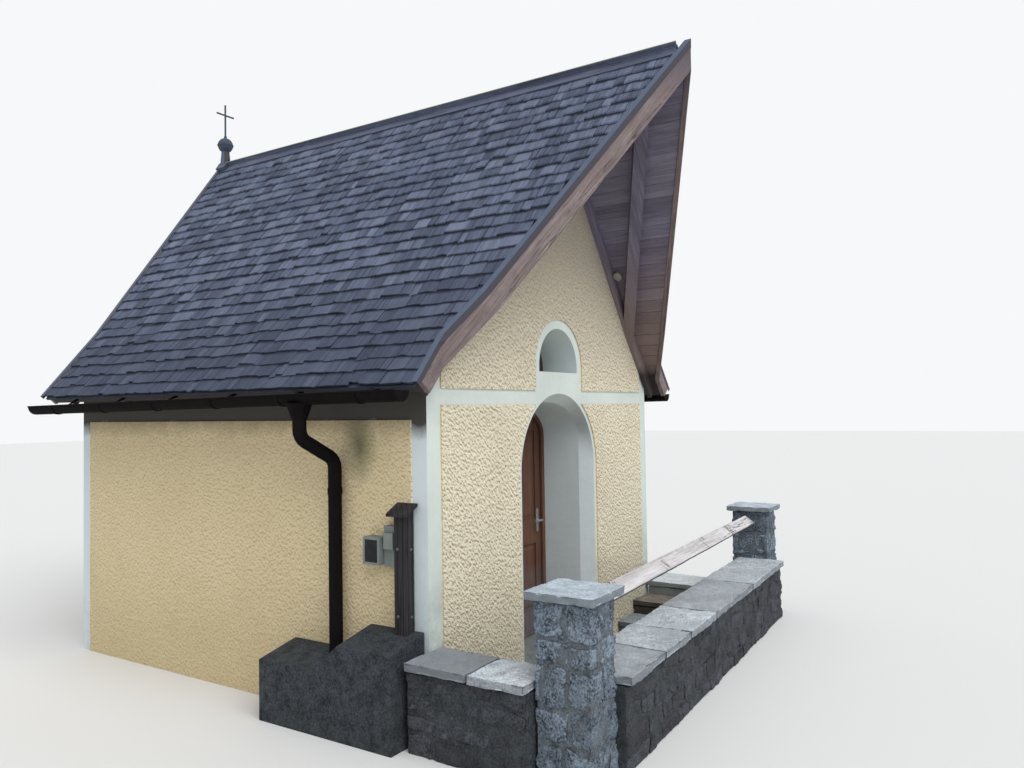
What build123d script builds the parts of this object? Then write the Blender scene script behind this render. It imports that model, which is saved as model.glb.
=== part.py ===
from build123d import *
import os
from math import asin, atan, cos, degrees, hypot, pi, radians, sin, tan

# A small roadside chapel with a steep shingled roof whose front verge leans out to a point,
# a round-arched door and a sunken entrance behind a low stone parapet.
# Units are millimetres. X runs along the front, Y from the front to the rear, Z up.
# The origin is the middle of the chapel's plan at the level of the sunken entrance.
os.makedirs("parts", exist_ok=True)

# Body of the chapel
body_width = 3500
body_length = 3950
front_wall_thickness = 600
side_wall_thickness = 450
rear_wall_thickness = 450
floor_thickness = 90
roughcast_thickness = 12
corner_border = 145
side_border = 125
side_band_drop = 94
band_drop = 88
band_height = 112

# Roof section, measured on top of the shingles
eave_rise = 29.8
main_pitch = 53.0
flare_pitch = 48.7
flare_run = 528
eave_overhang = 286
shingle_thickness = 50
boarding_thickness = 80
rafter_depth = 100
rafter_width = 100
rafter_rows = 5
wall_rafter_width = 40
flying_rafter_offset = 390
shingle_projection = 35
course_count = 27
course_step = 18
rafter_setback = 90

# Verges in plan: the front one leans out to a point at the ridge
ridge_overhang = 1190
foot_overhang = 157
verge_slope = 0.583
rear_ridge_overhang = 330
rear_foot_overhang = 180
barge_thickness = 40
barge_drop = 12
barge_joint_gap = 2
long_barge_split = 0.52
flashing_sheet = 3
flashing_width = 70
flashing_face = 22
ridge_board_width = 130
ridge_board_thickness = 24
ridge_board_setback = 130

# Door opening: a round arch in the face, splayed back to a flatter arch in the reveal
door_half_width = 605
splay_depth = 125
splay_inset = 48
arch_spring = 1603
reveal_lift = 237
reveal_rise = 300
door_border = 35

# Door frame and leaf
door_plane = 480
frame_section = 30
frame_depth = 70
stop_depth = 20
stop_lap = 14
threshold_height = 30
stop_gap = 6
leaf_thickness = 48
leaf_gap = 8
stile_width = 90
muntin_width = 90
panel_recess = 14
panel_bevel = 50
panel_field = 8
bottom_rail_height = 200
lock_rail_low = 885
lock_rail_height = 215
top_panel_rise = 50
handle_height = 1085
handle_backset = 65
plate_width = 40
plate_height = 210
plate_thickness = 5
lever_radius = 9
lever_reach = 48
lever_length = 120
lever_sides = 12
hinge_radius = 9
hinge_length = 90
hinge_gap = 0.3
low_hinge = 350
middle_hinge = 1050
top_hinge_drop = 190
hinge_flap = 26

# Half-round window over the door
lunette_half_width = 315
sill_rise = 151
lunette_straight = 46
lunette_border = 75
lunette_plane = 335
lunette_frame = 40
lunette_frame_depth = 50
glass_thickness = 6

# Gutters and downpipes
gutter_radius = 70
gutter_sides = 24
gutter_sheet = 3
gutter_rim_drop = 50
gutter_end_setback = 60
gutter_offset = 70
gutter_fall = 0.01
gutter_bead = 6
outlet_radius = 30
small_sides = 12
bracket_count = 6
bracket_width = 30
bracket_thickness = 5
bracket_foot = 28
bracket_root = 16
embed = 1
outlet_from_front = 780
funnel_radius = 88
funnel_lap = 15
funnel_height = 118
pipe_radius = 46
pipe_sheet = 3
pipe_sides = 16
pipe_standoff = 20
pipe_from_front = 740
neck_drop = 112
neck_fall = 270
neck_bend = 92
bend_parts = 4
free_pipe_end = 60
clip_drop = 233
clip_width = 40
clip_thickness = 4
clip_arm = 12

# Finial on the rear end of the ridge
finial_setback = 75
sleeve_bottom_radius = 66
sleeve_top_radius = 42
sleeve_drop = 124
sleeve_rise = 136
ball_radius = 82
ball_band_height = 14
ball_band_proud = 4
collar_radius = 16
collar_height = 22
ball_crown_angle = 0.22
ball_ring_count = 4
finial_sides = 20
cross_height = 352
cross_arm_drop = 115
cross_half_span = 112
cross_bar = 14

# Fittings on the left wall and under the front eaves
cabinet_from_front = 330
cabinet_bottom = 1080
cabinet_width = 140
cabinet_height = 180
cabinet_depth = 85
side_box_width = 108
side_box_height = 265
side_box_depth = 42
side_box_gap = 6
side_box_low = 10
fuse_box_width = 80
fuse_box_height = 105
fuse_box_depth = 24
fuse_box_drop = 42
cover_from_front = 107
cover_width = 98
cover_depth = 80
cover_top = 1470
cover_board = 20
cover_cap_lap = 36
cover_cap_fall = 62
cover_cap_thickness = 18
lamp_radius = 40
lamp_depth = 55
lamp_sides = 24
lamp_gap = 8
lamp_rafter_gap = 19.1
ledge_width = 330
ledge_from_front = 30
ledge_end = 1205
ledge_shoulder = 480
ledge_level_from = 694
ledge_high = 668
ledge_low = 480
ledge_wash = 70
meter_window_border = 16
meter_window_recess = 6

# Sunken entrance: parapet, pillars, slabs, rail and steps
near_pillar_out = 15
near_pillar_from_front = 1065
far_pillar_out = 765
far_pillar_from_front = 850
pillar_width = 330
pillar_depth = 370
pillar_height = 1015
cap_overhang = 38
cap_thickness = 55
parapet_height = 500
side_parapet_out = 85
side_parapet_width = 340
front_parapet_near = 1110
front_parapet_far = 965
front_parapet_width = 400
slab_thickness = 60
slab_overhang = 25
slab_joint = 8
slab_seam_shares = (0.1468, 0.2734, 0.4228, 0.6962)
side_slab_seam = 480
rail_width = 60
rail_height = 84
rail_level = 888
rail_near = 1040
rail_far = 850
step_rise = 123
first_step_inset = 750
low_tread = 345
middle_tread = 335
top_tread = 450
seat = 0.3

# Values worked out from the sizes above
half_width = body_width / 2
front_y = -body_length / 2
rear_y = body_length / 2
band_bottom = arch_spring + door_half_width - band_drop
band_top = band_bottom + band_height
main_angle = radians(main_pitch)
flare_angle = radians(flare_pitch)
eave_half_width = half_width + eave_overhang
flare_start = eave_half_width - flare_run
eave_height = band_top + eave_rise
flare_height = eave_height + flare_run * tan(flare_angle)
ridge_height = flare_height + flare_start * tan(main_angle)
reveal_spring = arch_spring + reveal_lift
lunette_sill = band_top + sill_rise
lunette_spring = lunette_sill + lunette_straight
boards_at = shingle_thickness
rafters_at = shingle_thickness + boarding_thickness
under_rafters = rafters_at + rafter_depth
inner_half_width = half_width - side_wall_thickness
nave_front = front_y + front_wall_thickness
nave_rear = rear_y - rear_wall_thickness
splay_half_width = door_half_width - splay_inset
main_length = flare_start / cos(main_angle)
course_length = (main_length + flare_run / cos(flare_angle)) / course_count
verge_hyp = hypot(1, verge_slope)
rear_slope = (rear_ridge_overhang - rear_foot_overhang) / eave_half_width
far_out = 4 * body_width


def roof_line(depth):
    """Points of the right-hand roof line at a depth below the shingle tops: apex, flare start, eave."""
    apex = ridge_height - depth / cos(main_angle)
    shift = depth * (1 / cos(flare_angle) - 1 / cos(main_angle)) / (tan(main_angle) - tan(flare_angle))
    bend_x = flare_start + shift
    bend_z = apex - bend_x * tan(main_angle)
    eave = (eave_half_width - depth * sin(flare_angle), eave_height - depth * cos(flare_angle))
    return (0, apex), (bend_x, bend_z), eave


def roof_height(x, depth):
    """Height of the roof line at a depth below the shingle tops, at a distance x from the ridge."""
    (_, apex), (bend_x, bend_z), _ = roof_line(depth)
    if abs(x) <= bend_x:
        return apex - abs(x) * tan(main_angle)
    return bend_z - (abs(x) - bend_x) * tan(flare_angle)


def layer_outline(top, bottom, side, setback=0):
    """Closed outline in XZ of one roof layer between two depths, on the side -1 (left) or 1 (right)."""
    back = (setback * cos(flare_angle), -setback * sin(flare_angle))
    a_top, b_top, c_top = roof_line(top)
    a_low, b_low, c_low = roof_line(bottom)
    c_top = (c_top[0] - back[0], c_top[1] - back[1])
    c_low = (c_low[0] - back[0], c_low[1] - back[1])
    return [(side * x, z) for x, z in (a_top, b_top, c_top, c_low, b_low, a_low)]


def course_tops():
    """Points of the right-hand roof line stepped down below the foot of each course of shingles."""
    points = [roof_line(course_step)[0]]
    for course in range(1, course_count + 1):
        foot = course * course_length
        if foot - course_length < main_length < foot:
            points.append(roof_line(course_step * (foot - main_length) / course_length)[1])
        angle = main_angle if foot < main_length else flare_angle
        past_bend = max(foot - main_length, 0)
        run = min(foot, main_length) * cos(main_angle) + past_bend * cos(flare_angle)
        points.append((run, roof_height(run, 0)))
        if course < course_count:
            points.append((run - course_step * sin(angle), points[-1][1] - course_step * cos(angle)))
    return points


def front_verge(inset, side):
    """Plan points of the front verge, moved inwards by inset: ridge point, kink, foot."""
    tip = front_y - ridge_overhang + inset * verge_hyp
    foot = front_y - foot_overhang + inset
    kink_x = (foot - tip) / verge_slope
    return [(0, tip), (side * kink_x, foot), (side * 2 * eave_half_width, foot)]


def rear_verge(inset, side):
    """Plan points of the rear verge, moved inwards by inset: foot, ridge point."""
    ridge_end = rear_y + rear_ridge_overhang - inset * hypot(1, rear_slope)
    return [(side * 2 * eave_half_width, ridge_end - 2 * eave_half_width * rear_slope), (0, ridge_end)]


def roof_plan(inset, side):
    """Closed plan outline of one roof slope between its verges, both moved inwards by inset."""
    return front_verge(inset, side) + rear_verge(inset, side)


def front_strip(outer, inner, side):
    """Closed plan outline of a strip that follows the front verge between two insets."""
    return front_verge(outer, side) + front_verge(inner, side)[::-1]


def rear_strip(outer, inner, side):
    """Closed plan outline of a strip that follows the rear verge between two insets."""
    return rear_verge(outer, side) + rear_verge(inner, side)[::-1]


def plan_cut(outline, plan):
    """Solid of one slope with an outline in XZ, cut to a plan outline."""
    with BuildPart(mode=Mode.PRIVATE) as layer:
        with BuildSketch(Plane.XZ):
            with BuildLine():
                Polyline(*outline, close=True)
            make_face()
        extrude(amount=far_out, both=True)
        with BuildSketch(Plane.XY):
            with BuildLine():
                Polyline(*plan, close=True)
            make_face()
        extrude(amount=2 * ridge_height, mode=Mode.INTERSECT)
    return layer.part


def roof_layer(top, bottom, side, plan, setback=0):
    """Solid between two depths of one slope, cut to a plan outline."""
    return plan_cut(layer_outline(top, bottom, side, setback), plan)


def arch_face(half, low, spring, rise):
    """Face of an arched opening: straight sides from low to spring and half an ellipse above."""
    with BuildSketch(mode=Mode.PRIVATE) as arch:
        with Locations((0, (low + spring) / 2)):
            Rectangle(2 * half, spring - low)
        with Locations((0, spring)):
            Ellipse(half, rise)
        with Locations((0, low - rise)):
            Rectangle(4 * half, 2 * rise, mode=Mode.SUBTRACT)
    return arch.sketch


def splay_face(half, spring, rise):
    """Face of one end of the splayed arch: two straight or curved shoulders, a crown and a flat foot."""
    shoulder = reveal_spring - arch_spring
    with BuildSketch(mode=Mode.PRIVATE) as face:
        with BuildLine():
            if spring > arch_spring:
                Line((half, arch_spring), (half, spring))
                EllipticalCenterArc((0, spring), half, rise, start_angle=0, arc_size=180)
                Line((-half, spring), (-half, arch_spring))
            else:
                angle = degrees(asin(shoulder / rise))
                CenterArc((0, spring), rise, 0, angle)
                CenterArc((0, spring), rise, angle, 180 - 2 * angle)
                CenterArc((0, spring), rise, 180 - angle, angle)
            Line((-half, arch_spring), (half, arch_spring))
        make_face()
    return face.sketch


def frustum(plane, radius, end_radius, height, sides):
    """Faceted solid that narrows from a regular polygon on a plane to one of an end radius."""
    slope = degrees(atan((radius - end_radius) * cos(pi / sides) / height))
    with BuildPart(mode=Mode.PRIVATE) as narrowed:
        with BuildSketch(plane):
            RegularPolygon(radius, sides)
        extrude(amount=height, taper=slope)
    return narrowed.part


def write(part, name):
    """Labels a finished piece and writes its file."""
    part.label = name
    export_step(part, f"parts/{name}.step")


# Floor of the nave and the doorway
with BuildPart() as floor_slab:
    with BuildSketch(Plane.XY):
        with Locations((0, (nave_front + nave_rear) / 2)):
            Rectangle(2 * inner_half_width, nave_rear - nave_front)
        with BuildLine():
            Polyline(
                (-door_half_width, front_y),
                (door_half_width, front_y),
                (splay_half_width, front_y + splay_depth),
                (splay_half_width, nave_front),
                (-splay_half_width, nave_front),
                (-splay_half_width, front_y + splay_depth),
                close=True,
            )
        make_face()
    extrude(amount=floor_thickness)
write(floor_slab.part, "floor_slab")

# Front wall: a pier on each side of the doorway, up to the spring of the arch
for side, name in ((-1, "front_wall_left"), (1, "front_wall_right")):
    with BuildPart() as pier:
        with BuildSketch(Plane.XY):
            with BuildLine():
                Polyline(
                    (side * half_width, front_y),
                    (side * door_half_width, front_y),
                    (side * splay_half_width, front_y + splay_depth),
                    (side * splay_half_width, nave_front),
                    (side * half_width, nave_front),
                    close=True,
                )
            make_face()
        extrude(amount=arch_spring)
    write(pier.part, name)


def gable_points(low, half, depth):
    """Outline points of a gable from a level up to a depth below the shingle tops."""
    edge = roof_height(half, depth)
    (_, apex), (bend_x, bend_z), _ = roof_line(depth)
    right = [(half, low), (half, edge), (bend_x, bend_z)]
    left = [(-x, z) for x, z in right[::-1]]
    return right + [(0, apex)] + left


# Front wall over the doorway, with the splayed arch
front_face = Plane((0, front_y, 0), x_dir=(1, 0, 0), z_dir=(0, -1, 0))
with BuildPart() as front_arch:
    with BuildSketch(front_face):
        with Locations((0, (arch_spring + band_top) / 2)):
            Rectangle(body_width, band_top - arch_spring)
    extrude(amount=-front_wall_thickness)
    with BuildSketch(front_face.offset(-splay_depth)):
        add(arch_face(splay_half_width, arch_spring, reveal_spring, reveal_rise))
    extrude(amount=splay_depth - front_wall_thickness, mode=Mode.SUBTRACT)
    with BuildSketch(front_face):
        add(splay_face(door_half_width, arch_spring, door_half_width))
    with BuildSketch(front_face.offset(-splay_depth)):
        add(splay_face(splay_half_width, reveal_spring, reveal_rise))
    loft(ruled=True, mode=Mode.SUBTRACT)
write(front_arch.part, "front_arch")

# Front gable above the band, and the block that holds the half-round window
surround_half = lunette_half_width + lunette_border
surround_height = lunette_spring + surround_half - band_top
with BuildPart() as front_gable:
    with BuildSketch(front_face):
        with BuildLine():
            Polyline(*gable_points(band_top, half_width, rafters_at), close=True)
        make_face()
        with Locations((0, band_top)):
            Rectangle(2 * surround_half, 2 * surround_height, mode=Mode.SUBTRACT)
    extrude(amount=-front_wall_thickness)
write(front_gable.part, "front_gable")

with BuildPart() as lunette_surround:
    with BuildSketch(front_face):
        with Locations((0, band_top + surround_height / 2)):
            Rectangle(2 * surround_half, surround_height)
        add(
            arch_face(lunette_half_width, lunette_sill, lunette_spring, lunette_half_width),
            mode=Mode.SUBTRACT,
        )
    extrude(amount=-front_wall_thickness)
write(lunette_surround.part, "lunette_surround")

# Rear wall with its gable
with BuildPart() as rear_wall:
    with BuildSketch(Plane.XZ.offset(-rear_y)):
        with BuildLine():
            Polyline(*gable_points(0, half_width, rafters_at), close=True)
        make_face()
    extrude(amount=rear_wall_thickness)
write(rear_wall.part, "rear_wall")

# Rafters: upright ones across the building, one against each gable and a slanting one in the point
nave_pitch = (nave_rear - nave_front) / rafter_rows
rafter_spans = [
    (nave_front + (row + 0.5) * nave_pitch - rafter_width / 2, rafter_width) for row in range(rafter_rows)
]
gable_face = front_y - roughcast_thickness
rear_face = rear_y + roughcast_thickness
rafter_spans.append((gable_face - wall_rafter_width, wall_rafter_width))
rafter_spans.append((rear_face, wall_rafter_width))
flying_inset = flying_rafter_offset / verge_hyp


def rafter_plan(start, width, side):
    """Plan outline of one straight rafter."""
    reach = side * 2 * eave_half_width
    return [(0, start), (reach, start), (reach, start + width), (0, start + width)]


flying_half = rafter_width / 2
for side, name in ((-1, "rafters_left"), (1, "rafters_right")):
    solids = []
    for start, width in rafter_spans:
        solids.append(
            roof_layer(rafters_at, under_rafters, side, rafter_plan(start, width, side), rafter_setback)
        )
    flying_tip = front_y - ridge_overhang + (flying_inset - flying_half) * verge_hyp
    flying_tail = flying_tip + 2 * flying_half * verge_hyp
    flying_end = gable_face - wall_rafter_width - seat
    flying = [
        (0, flying_tip),
        (side * (flying_end - flying_tip) / verge_slope, flying_end),
        (side * (flying_end - flying_tail) / verge_slope, flying_end),
        (0, flying_tail),
    ]
    solids.append(roof_layer(rafters_at, under_rafters, side, flying))
    with BuildPart() as rafters:
        for solid in solids:
            add(solid)
    write(rafters.part, name)

# Side walls rise to the roof boards and are notched round the rafters
for side, name in ((-1, "side_wall_left"), (1, "side_wall_right")):
    outer = side * half_width
    inner = side * inner_half_width
    with BuildPart() as side_wall:
        with BuildSketch(Plane.XZ.offset(-nave_rear)):
            with BuildLine():
                bend = roof_line(rafters_at)[1]
                Polyline(
                    (inner, 0),
                    (outer, 0),
                    (outer, roof_height(half_width, rafters_at)),
                    (side * bend[0], bend[1]),
                    (inner, roof_height(inner_half_width, rafters_at)),
                    close=True,
                )
            make_face()
        extrude(amount=nave_rear - nave_front)
        for start, width in rafter_spans[:rafter_rows]:
            add(
                roof_layer(rafters_at, under_rafters, side, rafter_plan(start, width, side), rafter_setback),
                mode=Mode.SUBTRACT,
            )
    write(side_wall.part, name)

# Roof boards and shingles, each slope one slab that ends behind the barge boards
for side, end in ((-1, "left"), (1, "right")):
    write(
        roof_layer(boards_at, rafters_at, side, roof_plan(barge_thickness, side), shingle_projection),
        f"roof_boards_{end}",
    )
    courses = [(side * x, z) for x, z in course_tops() + list(roof_line(boards_at))[::-1]]
    write(plan_cut(courses, roof_plan(barge_thickness, side)), f"shingles_{end}")

# Barge boards on the front verge, in three lengths, and on the rear verge
barge_low = rafters_at + barge_drop
for side, end in ((-1, "left"), (1, "right")):
    kink_x = abs(front_verge(0, side)[1][0])
    cuts = [0, kink_x * long_barge_split, kink_x, 2 * eave_half_width]
    with BuildPart() as barge:
        for low_x, high_x in zip(cuts[:-1], cuts[1:]):
            whole = roof_layer(0, barge_low, side, front_strip(0, barge_thickness, side), shingle_projection)
            with BuildPart(mode=Mode.PRIVATE) as length:
                add(whole)
                middle = side * (low_x + barge_joint_gap / 2 + high_x) / 2
                with BuildSketch(Plane.XY):
                    with Locations((middle, front_y)):
                        Rectangle(high_x - low_x - barge_joint_gap / 2, 4 * ridge_overhang)
                extrude(amount=2 * ridge_height, mode=Mode.INTERSECT)
            add(length.part)
    write(barge.part, f"barge_boards_{end}")

with BuildPart() as rear_barge:
    for side in (-1, 1):
        add(roof_layer(0, barge_low, side, rear_strip(0, barge_thickness, side), shingle_projection))
    with Locations((0, rear_y)):
        Box(barge_joint_gap, 4 * rear_ridge_overhang, 4 * ridge_height, mode=Mode.SUBTRACT)
write(rear_barge.part, "rear_barge_boards")

# Sheet-metal flashings that lap the verges: a flat strip on the shingles and a drip face
with BuildPart() as flashings:
    for side in (-1, 1):
        for strip in (front_strip, rear_strip):
            add(roof_layer(-flashing_sheet, 0, side, strip(-flashing_sheet, flashing_width, side)))
            add(roof_layer(0, flashing_face, side, strip(-flashing_sheet, 0, side)))
write(flashings.part, "verge_flashings")

# Ridge boards, one on each slope along the top edge
with BuildPart() as ridge_boards:
    for side in (-1, 1):
        run = ridge_board_width * cos(main_angle)
        low_y = front_verge(0, side)[0][1] + ridge_board_setback
        high_y = rear_verge(0, side)[1][1]
        plan = [(0, low_y), (side * run, low_y), (side * run, high_y), (0, high_y)]
        add(roof_layer(-flashing_sheet - ridge_board_thickness, -flashing_sheet, side, plan))
write(ridge_boards.part, "ridge_boards")

# Roughcast panels, proud of the smooth borders
corner_x = half_width - corner_border
with BuildPart() as roughcast_front:
    with BuildSketch(front_face):
        with BuildLine():
            Polyline(*gable_points(0, corner_x, rafters_at), close=True)
        make_face()
        with Locations((0, band_bottom + band_height / 2)):
            Rectangle(body_width, band_height, mode=Mode.SUBTRACT)
        border = door_half_width + door_border
        add(arch_face(border, 0, arch_spring, border), mode=Mode.SUBTRACT)
        add(arch_face(surround_half, band_bottom, lunette_spring, surround_half), mode=Mode.SUBTRACT)
    extrude(amount=roughcast_thickness)
write(roughcast_front.part, "roughcast_front")

with BuildPart() as roughcast_sides:
    middle_y = (front_y + rear_y) / 2
    side_band_bottom = band_bottom - side_band_drop
    for side in (-1, 1):
        with BuildSketch(Plane.YZ.offset(side * half_width)):
            with Locations((middle_y, side_band_bottom / 2)):
                Rectangle(body_length - 2 * side_border, side_band_bottom)
        extrude(amount=side * roughcast_thickness)
    with BuildSketch(Plane.XZ.offset(-rear_y)):
        with BuildLine():
            Polyline(*gable_points(0, corner_x, rafters_at), close=True)
        make_face()
    extrude(amount=-roughcast_thickness)
write(roughcast_sides.part, "roughcast_sides")

# Door frame: a slim arched lining with a stop, a threshold and the pin halves of the hinges
reveal_half = splay_half_width - seat
reveal_crown = reveal_rise - seat
frame_half = reveal_half - frame_section
frame_crown = reveal_crown - frame_section
leaf_front = door_plane + stop_depth + stop_gap
leaf_half = frame_half - leaf_gap
leaf_crown = frame_crown - leaf_gap
frame_plane = front_face.offset(-door_plane)
frame_foot = floor_thickness + seat
hinge_x = -(frame_half + leaf_half) / 2
leaf_back_y = front_y + leaf_front + leaf_thickness
frame_back_y = front_y + door_plane + frame_depth
hinge_y = leaf_back_y + hinge_radius + seat
knuckle = (hinge_length - hinge_gap) / 2
hinge_levels = (low_hinge, middle_hinge, reveal_spring - top_hinge_drop)


def hinge_half(level, flap_from, flap_to, back_y):
    """One half of a hinge: a knuckle on the pin line and a flap that runs back to a face."""
    with BuildPart(mode=Mode.PRIVATE) as half:
        with BuildSketch(Plane.XY.offset(level)):
            with Locations((hinge_x, hinge_y)):
                Circle(hinge_radius)
            with Locations(((flap_from + flap_to) / 2, (back_y - embed + hinge_y) / 2)):
                Rectangle(flap_to - flap_from, hinge_y - back_y + embed)
        extrude(amount=knuckle)
    return half.part


with BuildPart() as door_frame:
    with BuildSketch(frame_plane):
        add(arch_face(reveal_half, frame_foot, reveal_spring, reveal_crown))
        add(arch_face(frame_half, frame_foot, reveal_spring, frame_crown), mode=Mode.SUBTRACT)
    extrude(amount=-frame_depth)
    with BuildSketch(frame_plane):
        add(arch_face(reveal_half, frame_foot, reveal_spring, reveal_crown))
        stop_foot = floor_thickness + threshold_height
        add(
            arch_face(frame_half - stop_lap, stop_foot, reveal_spring, frame_crown - stop_lap),
            mode=Mode.SUBTRACT,
        )
    extrude(amount=-stop_depth)
    for level in hinge_levels:
        add(hinge_half(level, -frame_half - hinge_flap, hinge_x, frame_back_y))
write(door_frame.part, "door_frame")

# Door leaf: stiles, rails and muntin round raised panels, the same on both faces
leaf_foot = floor_thickness + leaf_gap
leaf_plane = front_face.offset(-leaf_front)
panel_width = leaf_half - stile_width - muntin_width / 2
panel_rows = (
    (leaf_foot + bottom_rail_height, lock_rail_low),
    (lock_rail_low + lock_rail_height, reveal_spring + top_panel_rise),
)
with BuildPart() as door_leaf:
    with BuildSketch(leaf_plane):
        add(arch_face(leaf_half, leaf_foot, reveal_spring, leaf_crown))
    extrude(amount=-leaf_thickness)
    for side in (-1, 1):
        for low, high in panel_rows:
            middle = (side * (muntin_width + panel_width) / 2, (low + high) / 2)
            for face_plane, inward in ((leaf_plane, -1), (leaf_plane.offset(-leaf_thickness), 1)):
                with BuildSketch(face_plane):
                    with Locations(middle):
                        Rectangle(panel_width, high - low)
                extrude(amount=inward * panel_recess, mode=Mode.SUBTRACT)
                field_plane = face_plane.offset(inward * panel_recess)
                with BuildSketch(field_plane):
                    with Locations(middle):
                        Rectangle(panel_width - panel_bevel, high - low - panel_bevel)
                extrude(amount=-inward * panel_field, taper=degrees(atan(panel_bevel / 2 / panel_field)))
    for level in hinge_levels:
        add(hinge_half(level + knuckle + hinge_gap, hinge_x, hinge_x + hinge_flap, leaf_back_y))
write(door_leaf.part, "door_leaf")

# Lever handles on both faces of the leaf, each with its plate
handle_x = leaf_half - handle_backset
with BuildPart() as door_handle:
    for face_y, outward in ((front_y + leaf_front, -1), (leaf_back_y, 1)):
        centre = (handle_x, face_y + outward * seat, handle_height)
        face = Plane(centre, x_dir=(1, 0, 0), z_dir=(0, outward, 0))
        with BuildSketch(face):
            SlotOverall(plate_height, plate_width, rotation=90)
        extrude(amount=plate_thickness)
        with BuildSketch(face):
            RegularPolygon(lever_radius, lever_sides)
        extrude(amount=plate_thickness + lever_reach)
        lever_y = face_y + outward * (seat + plate_thickness + lever_reach)
        with BuildSketch(Plane((handle_x + lever_radius, lever_y, handle_height), z_dir=(-1, 0, 0))):
            RegularPolygon(lever_radius, lever_sides)
        extrude(amount=lever_length)
write(door_handle.part, "door_handle")

# Half-round window: frame and pane deep in its reveal
outer = lunette_half_width - seat
inner = lunette_half_width - lunette_frame
with BuildPart() as lunette_frame_part:
    with BuildSketch(front_face.offset(-lunette_plane)):
        add(arch_face(outer, lunette_sill + seat, lunette_spring, outer))
        add(arch_face(inner, lunette_sill + lunette_frame, lunette_spring, inner), mode=Mode.SUBTRACT)
    extrude(amount=-lunette_frame_depth)
write(lunette_frame_part.part, "lunette_frame")

pane_front = lunette_plane + (lunette_frame_depth - glass_thickness) / 2
with BuildPart() as lunette_glass:
    with BuildSketch(front_face.offset(-pane_front)):
        add(arch_face(inner - seat, lunette_sill + lunette_frame + seat, lunette_spring, inner - seat))
    extrude(amount=-glass_thickness)
write(lunette_glass.part, "lunette_glass")

# Gutters: half-round troughs that fall towards the rear, on brackets from the ends of the roof boards
gutter_x = eave_half_width + gutter_offset
gutter_front = front_y - foot_overhang + gutter_end_setback
gutter_rear = rear_y + rear_foot_overhang - gutter_end_setback
gutter_length = gutter_rear - gutter_front
rim_front = roof_height(eave_half_width, 0) - gutter_rim_drop
bracket_pitch = gutter_length / bracket_count
face_up = (sin(flare_angle), cos(flare_angle))
face_out = (cos(flare_angle), -sin(flare_angle))
board_end = layer_outline(boards_at, rafters_at, 1, shingle_projection)[3]


def rim_height(y):
    """Height of the gutter rim at a place along the eaves."""
    return rim_front - (y - gutter_front) * gutter_fall


def board_end_point(up):
    """Point just off the end face of the roof boards, at a distance up that face."""
    return [board_end[i] + up * face_up[i] + seat * face_out[i] for i in (0, 1)]


for side, end in ((-1, "left"), (1, "right")):
    start = (side * gutter_x, gutter_front, rim_front)
    trough = Plane(start, x_dir=(1, 0, 0), z_dir=(0, 1, -gutter_fall))
    with BuildPart() as gutter:
        with BuildSketch(trough):
            RegularPolygon(gutter_radius, gutter_sides)
            RegularPolygon(gutter_radius - gutter_sheet, gutter_sides, mode=Mode.SUBTRACT)
            Rectangle(
                3 * gutter_radius, 2 * gutter_radius, align=(Align.CENTER, Align.MAX), mode=Mode.SUBTRACT
            )
            with Locations((side * gutter_radius, 0)):
                RegularPolygon(gutter_bead, small_sides)
        extrude(amount=gutter_length)
        for cap in (trough, trough.offset(gutter_length - gutter_sheet)):
            with BuildSketch(cap):
                RegularPolygon(gutter_radius, gutter_sides)
                Rectangle(
                    3 * gutter_radius, 2 * gutter_radius, align=(Align.CENTER, Align.MAX), mode=Mode.SUBTRACT
                )
            extrude(amount=gutter_sheet)
        for index in range(bracket_count):
            y = gutter_front + (index + 0.5) * bracket_pitch
            rim = rim_height(y)
            with BuildSketch(Plane.XZ.offset(-y)):
                with Locations((side * gutter_x, rim)):
                    RegularPolygon(gutter_radius + bracket_thickness, gutter_sides)
                    RegularPolygon(gutter_radius - embed, gutter_sides, mode=Mode.SUBTRACT)
                    Rectangle(
                        3 * gutter_radius,
                        2 * gutter_radius,
                        align=(Align.CENTER, Align.MIN),
                        mode=Mode.SUBTRACT,
                    )
                with BuildLine():
                    low, high = (
                        board_end_point(bracket_foot),
                        board_end_point(bracket_foot + bracket_root),
                    )
                    Polyline(
                        (side * low[0], low[1]),
                        (side * high[0], high[1]),
                        (side * (gutter_x - gutter_radius + embed), rim - embed),
                        (side * (gutter_x - gutter_radius - bracket_thickness), rim - embed),
                        close=True,
                    )
                make_face()
            extrude(amount=bracket_width)
        with BuildSketch(Plane.XY.offset(rim_front - 2 * gutter_radius)):
            with Locations((side * gutter_x, front_y + outlet_from_front)):
                RegularPolygon(outlet_radius, small_sides)
        extrude(amount=2 * gutter_radius, mode=Mode.SUBTRACT)
    write(gutter.part, f"gutter_{end}")

# Downpipes: a funnel under the gutter outlet, a swan neck back to the wall and a pipe with its clip
wall_skin = half_width + roughcast_thickness + seat
pipe_x = half_width + roughcast_thickness + pipe_standoff + pipe_radius
outlet_y = front_y + outlet_from_front
pipe_y = front_y + pipe_from_front
funnel_top = rim_height(outlet_y) - gutter_radius + funnel_lap
funnel_low = funnel_top - funnel_height
neck_end = funnel_low - neck_fall
clip_height = neck_end - clip_drop


def ledge_section(height, gap):
    """Closed outline across the ledge, its top at a height at the wall, with a gap above it."""
    outer_x = -wall_skin - ledge_width
    top = height + gap
    return [(-wall_skin, 0), (-wall_skin, top), (outer_x, top - ledge_wash), (outer_x, 0)]


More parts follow.
